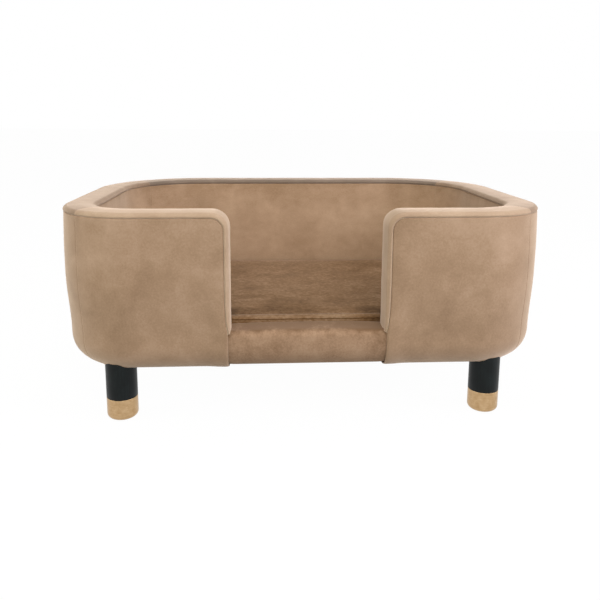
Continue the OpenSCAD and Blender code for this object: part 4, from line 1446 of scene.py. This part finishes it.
def makeLegs():
    glides = bmesh.new()
    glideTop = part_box("glides")[1].z
    for legName, (x, y, radius) in zip(legNames, legs):
        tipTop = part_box("tip_" + legName)[1].z
        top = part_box("leg_" + legName)[1].z
        edge, tipEdge, foot, lip = leg["edge"], leg["tipEdge"], leg["foot"], leg["tipLip"]
        spigot, hole = leg["spigot"], leg["glideHole"]
        shaft = [(0, foot), (spigot - edge, foot), (spigot, foot + edge), (spigot, tipTop)]
        shaft += arcPoints(radius - edge, tipTop + edge, edge, -90, 0, 3)
        shaft += [(radius, tipTop + (top - tipTop) * i / 4) for i in range(1, 4)]
        shaft += arcPoints(radius - edge, top - edge, edge, 0, 90, 3)
        bottom = top - leg["boltDepth"]
        shaft += [(leg["boltHole"], top), (leg["boltHole"], bottom), (0, bottom)]
        bm = bmesh.new()
        turned(bm, shaft, x, y)
        name = "".join(word.capitalize() for word in legName.split("_"))
        makePiece("leg" + name, bm, materials["leg"], "tub", ["leg_" + legName], 35)
        low = leg["glideOut"]
        inner = radius - leg["tipWall"]
        sleeve = [(0, low + leg["glideIn"]), (hole, low + leg["glideIn"]), (hole, low)]
        sleeve += arcPoints(radius - tipEdge, low + tipEdge, tipEdge, -90, 0, 10)
        sleeve += [(radius, tipTop - edge)]
        sleeve += arcPoints(radius - edge / 2, tipTop - edge / 2, edge / 2, 0, 90, 3)
        sleeve += [(inner + lip, tipTop), (inner, tipTop - lip), (inner, foot), (0, foot)]
        bm = bmesh.new()
        turned(bm, sleeve, x, y)
        makePiece("tip" + name, bm, materials["tip"], "tub", ["tip_" + legName], 35)
        turned(glides, leg["glide"] + [(leg["glide"][-1][0], glideTop), (0, glideTop)], x, y)
    makePiece("glides", glides, materials["glide"], "tub", ["glides"], 35)


makeLegs()
print("legs made")

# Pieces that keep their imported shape
kept = {
    "plywood": ["base_panel", "base_ring", "foot_rail", "rim_rail"],
    "pine": ["back_posts", "corner_posts", "side_posts", "end_board_left", "end_board_right", "sill_rail"],
    "hardboard": ["outer_skin", "inner_skin"],
    "zinc": ["frame_screws", "tee_nuts", "leg_bolts"],
    "foam": ["outer_foam_left", "outer_foam_back", "outer_foam_right", "inner_foam_left", "inner_foam_back",
             "inner_foam_right", "rim_pad_left", "rim_pad_back", "rim_pad_right", "sill_foam"],
}
for key, names in kept.items():
    for name in names:
        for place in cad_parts[name].material_slots:
            place.material = materials[key]

# Camera, light and floor
camera = {
    "place": Vector((-70 * mm, -1213 * mm, 492 * mm)),
    "yaw": 3.41,  # degrees to the right
    "pitch": 10.0,  # degrees down
    "roll": 0.32,
    "focal": 631,  # in pixels of the photograph's frame
    "frame": 600,
    "raise": 74.2,  # pixels that the frame is shifted down by
}
cameraData = bpy.data.cameras.new("camera")
cameraData.sensor_width = 36
cameraData.sensor_fit = "HORIZONTAL"
cameraData.lens = cameraData.sensor_width * camera["focal"] / camera["frame"]
cameraData.shift_y = -camera["raise"] / camera["frame"]
cameraObject = newObject("camera", cameraData)
cameraObject.matrix_world = (
    Matrix.Translation(camera["place"])
    @ Matrix.Rotation(math.radians(-camera["yaw"]), 4, "Z")
    @ Matrix.Rotation(math.radians(90 - camera["pitch"]), 4, "X")
    @ Matrix.Rotation(math.radians(camera["roll"]), 4, "Z")
)
bpy.context.scene.camera = cameraObject

lamps = {
    # place, what it looks at, size in metres, power in watts, colour
    "top": ((0.1, 0.0, 2.4), (0, 0, 0.2), 2.2, 20, "#FFFFFF"),
    "front": ((0.3, -2.6, 1.9), (0, 0, 0.2), 1.8, 52, "#FFFCF8"),
    "left": ((-2.1, -0.8, 1.0), (0, 0, 0.2), 1.0, 20, "#FFFCF4"),
    "right": ((2.1, -1.0, 1.0), (0, 0, 0.2), 1.2, 40, "#F4F2FF"),
}
for name, (place, target, size, power, tint) in lamps.items():
    data = bpy.data.lights.new(name, "AREA")
    data.size = size
    data.energy = power
    data.color = linear(tint)[:3]
    lamp = newObject(name, data)
    lamp.location = place
    lamp.rotation_euler = (Vector(target) - Vector(place)).to_track_quat("-Z", "Y").to_euler()

studio = {
    "ambient": 0.36,
    "floorColour": "#A8A8A6",
    "floorGlow": 1.03,
    "floorShare": 0.95,
    "floorSize": 40,
}


def seenDirectly(tree):
    # 1 for rays from the camera, from gloss and through glass, which see plain white
    path = addNode(tree, "LightPath")
    seen = path.outputs["Is Camera Ray"]
    for kind in ("Is Glossy Ray", "Is Transmission Ray"):
        seen = addNode(tree, "Math", {0: seen, 1: path.outputs[kind]}, operation="MAXIMUM").outputs[0]
    return seen


world = bpy.data.worlds.new("studio")
bpy.context.scene.world = world
world.use_nodes = True
worldTree = world.node_tree
background = worldTree.nodes["Background"]
background.inputs["Color"].default_value = linear("#FFFFFF")
strength = addNode(worldTree, "MapRange", {
    "Value": seenDirectly(worldTree), "To Min": studio["ambient"], "To Max": 1.0,
})
worldTree.links.new(strength.outputs[0], background.inputs["Strength"])

floorMesh = bmesh.new()
bmesh.ops.create_grid(floorMesh, x_segments=1, y_segments=1, size=studio["floorSize"] / 2)
floorData = bpy.data.meshes.new("floor")
floorMesh.to_mesh(floorData)
floorMesh.free()
floor = newObject("floor", floorData)
# painted matt and pale; seen directly it glows white, apart from the object's shadow
floorMaterial, floorTree = newMaterial("paintedFloor")[:2]
floorSurface = floorTree.nodes["Principled BSDF"]
floorSurface.inputs["Base Color"].default_value = linear(studio["floorColour"])
floorSurface.inputs["Roughness"].default_value = 0.9
glow = addNode(floorTree, "Emission", {"Color": linear("#FFFFFF"), "Strength": studio["floorGlow"]})
direct = seenDirectly(floorTree)
share = addNode(floorTree, "Math", {0: direct, 1: studio["floorShare"]}, operation="MULTIPLY")
mixed = addNode(floorTree, "MixShader", {0: share, 1: floorSurface, 2: glow})
floorTree.links.new(mixed.outputs[0], floorTree.nodes["Material Output"].inputs["Surface"])
floorData.materials.append(floorMaterial)

bpy.context.scene.view_settings.view_transform = "Standard"
print("camera, lamps and floor set")
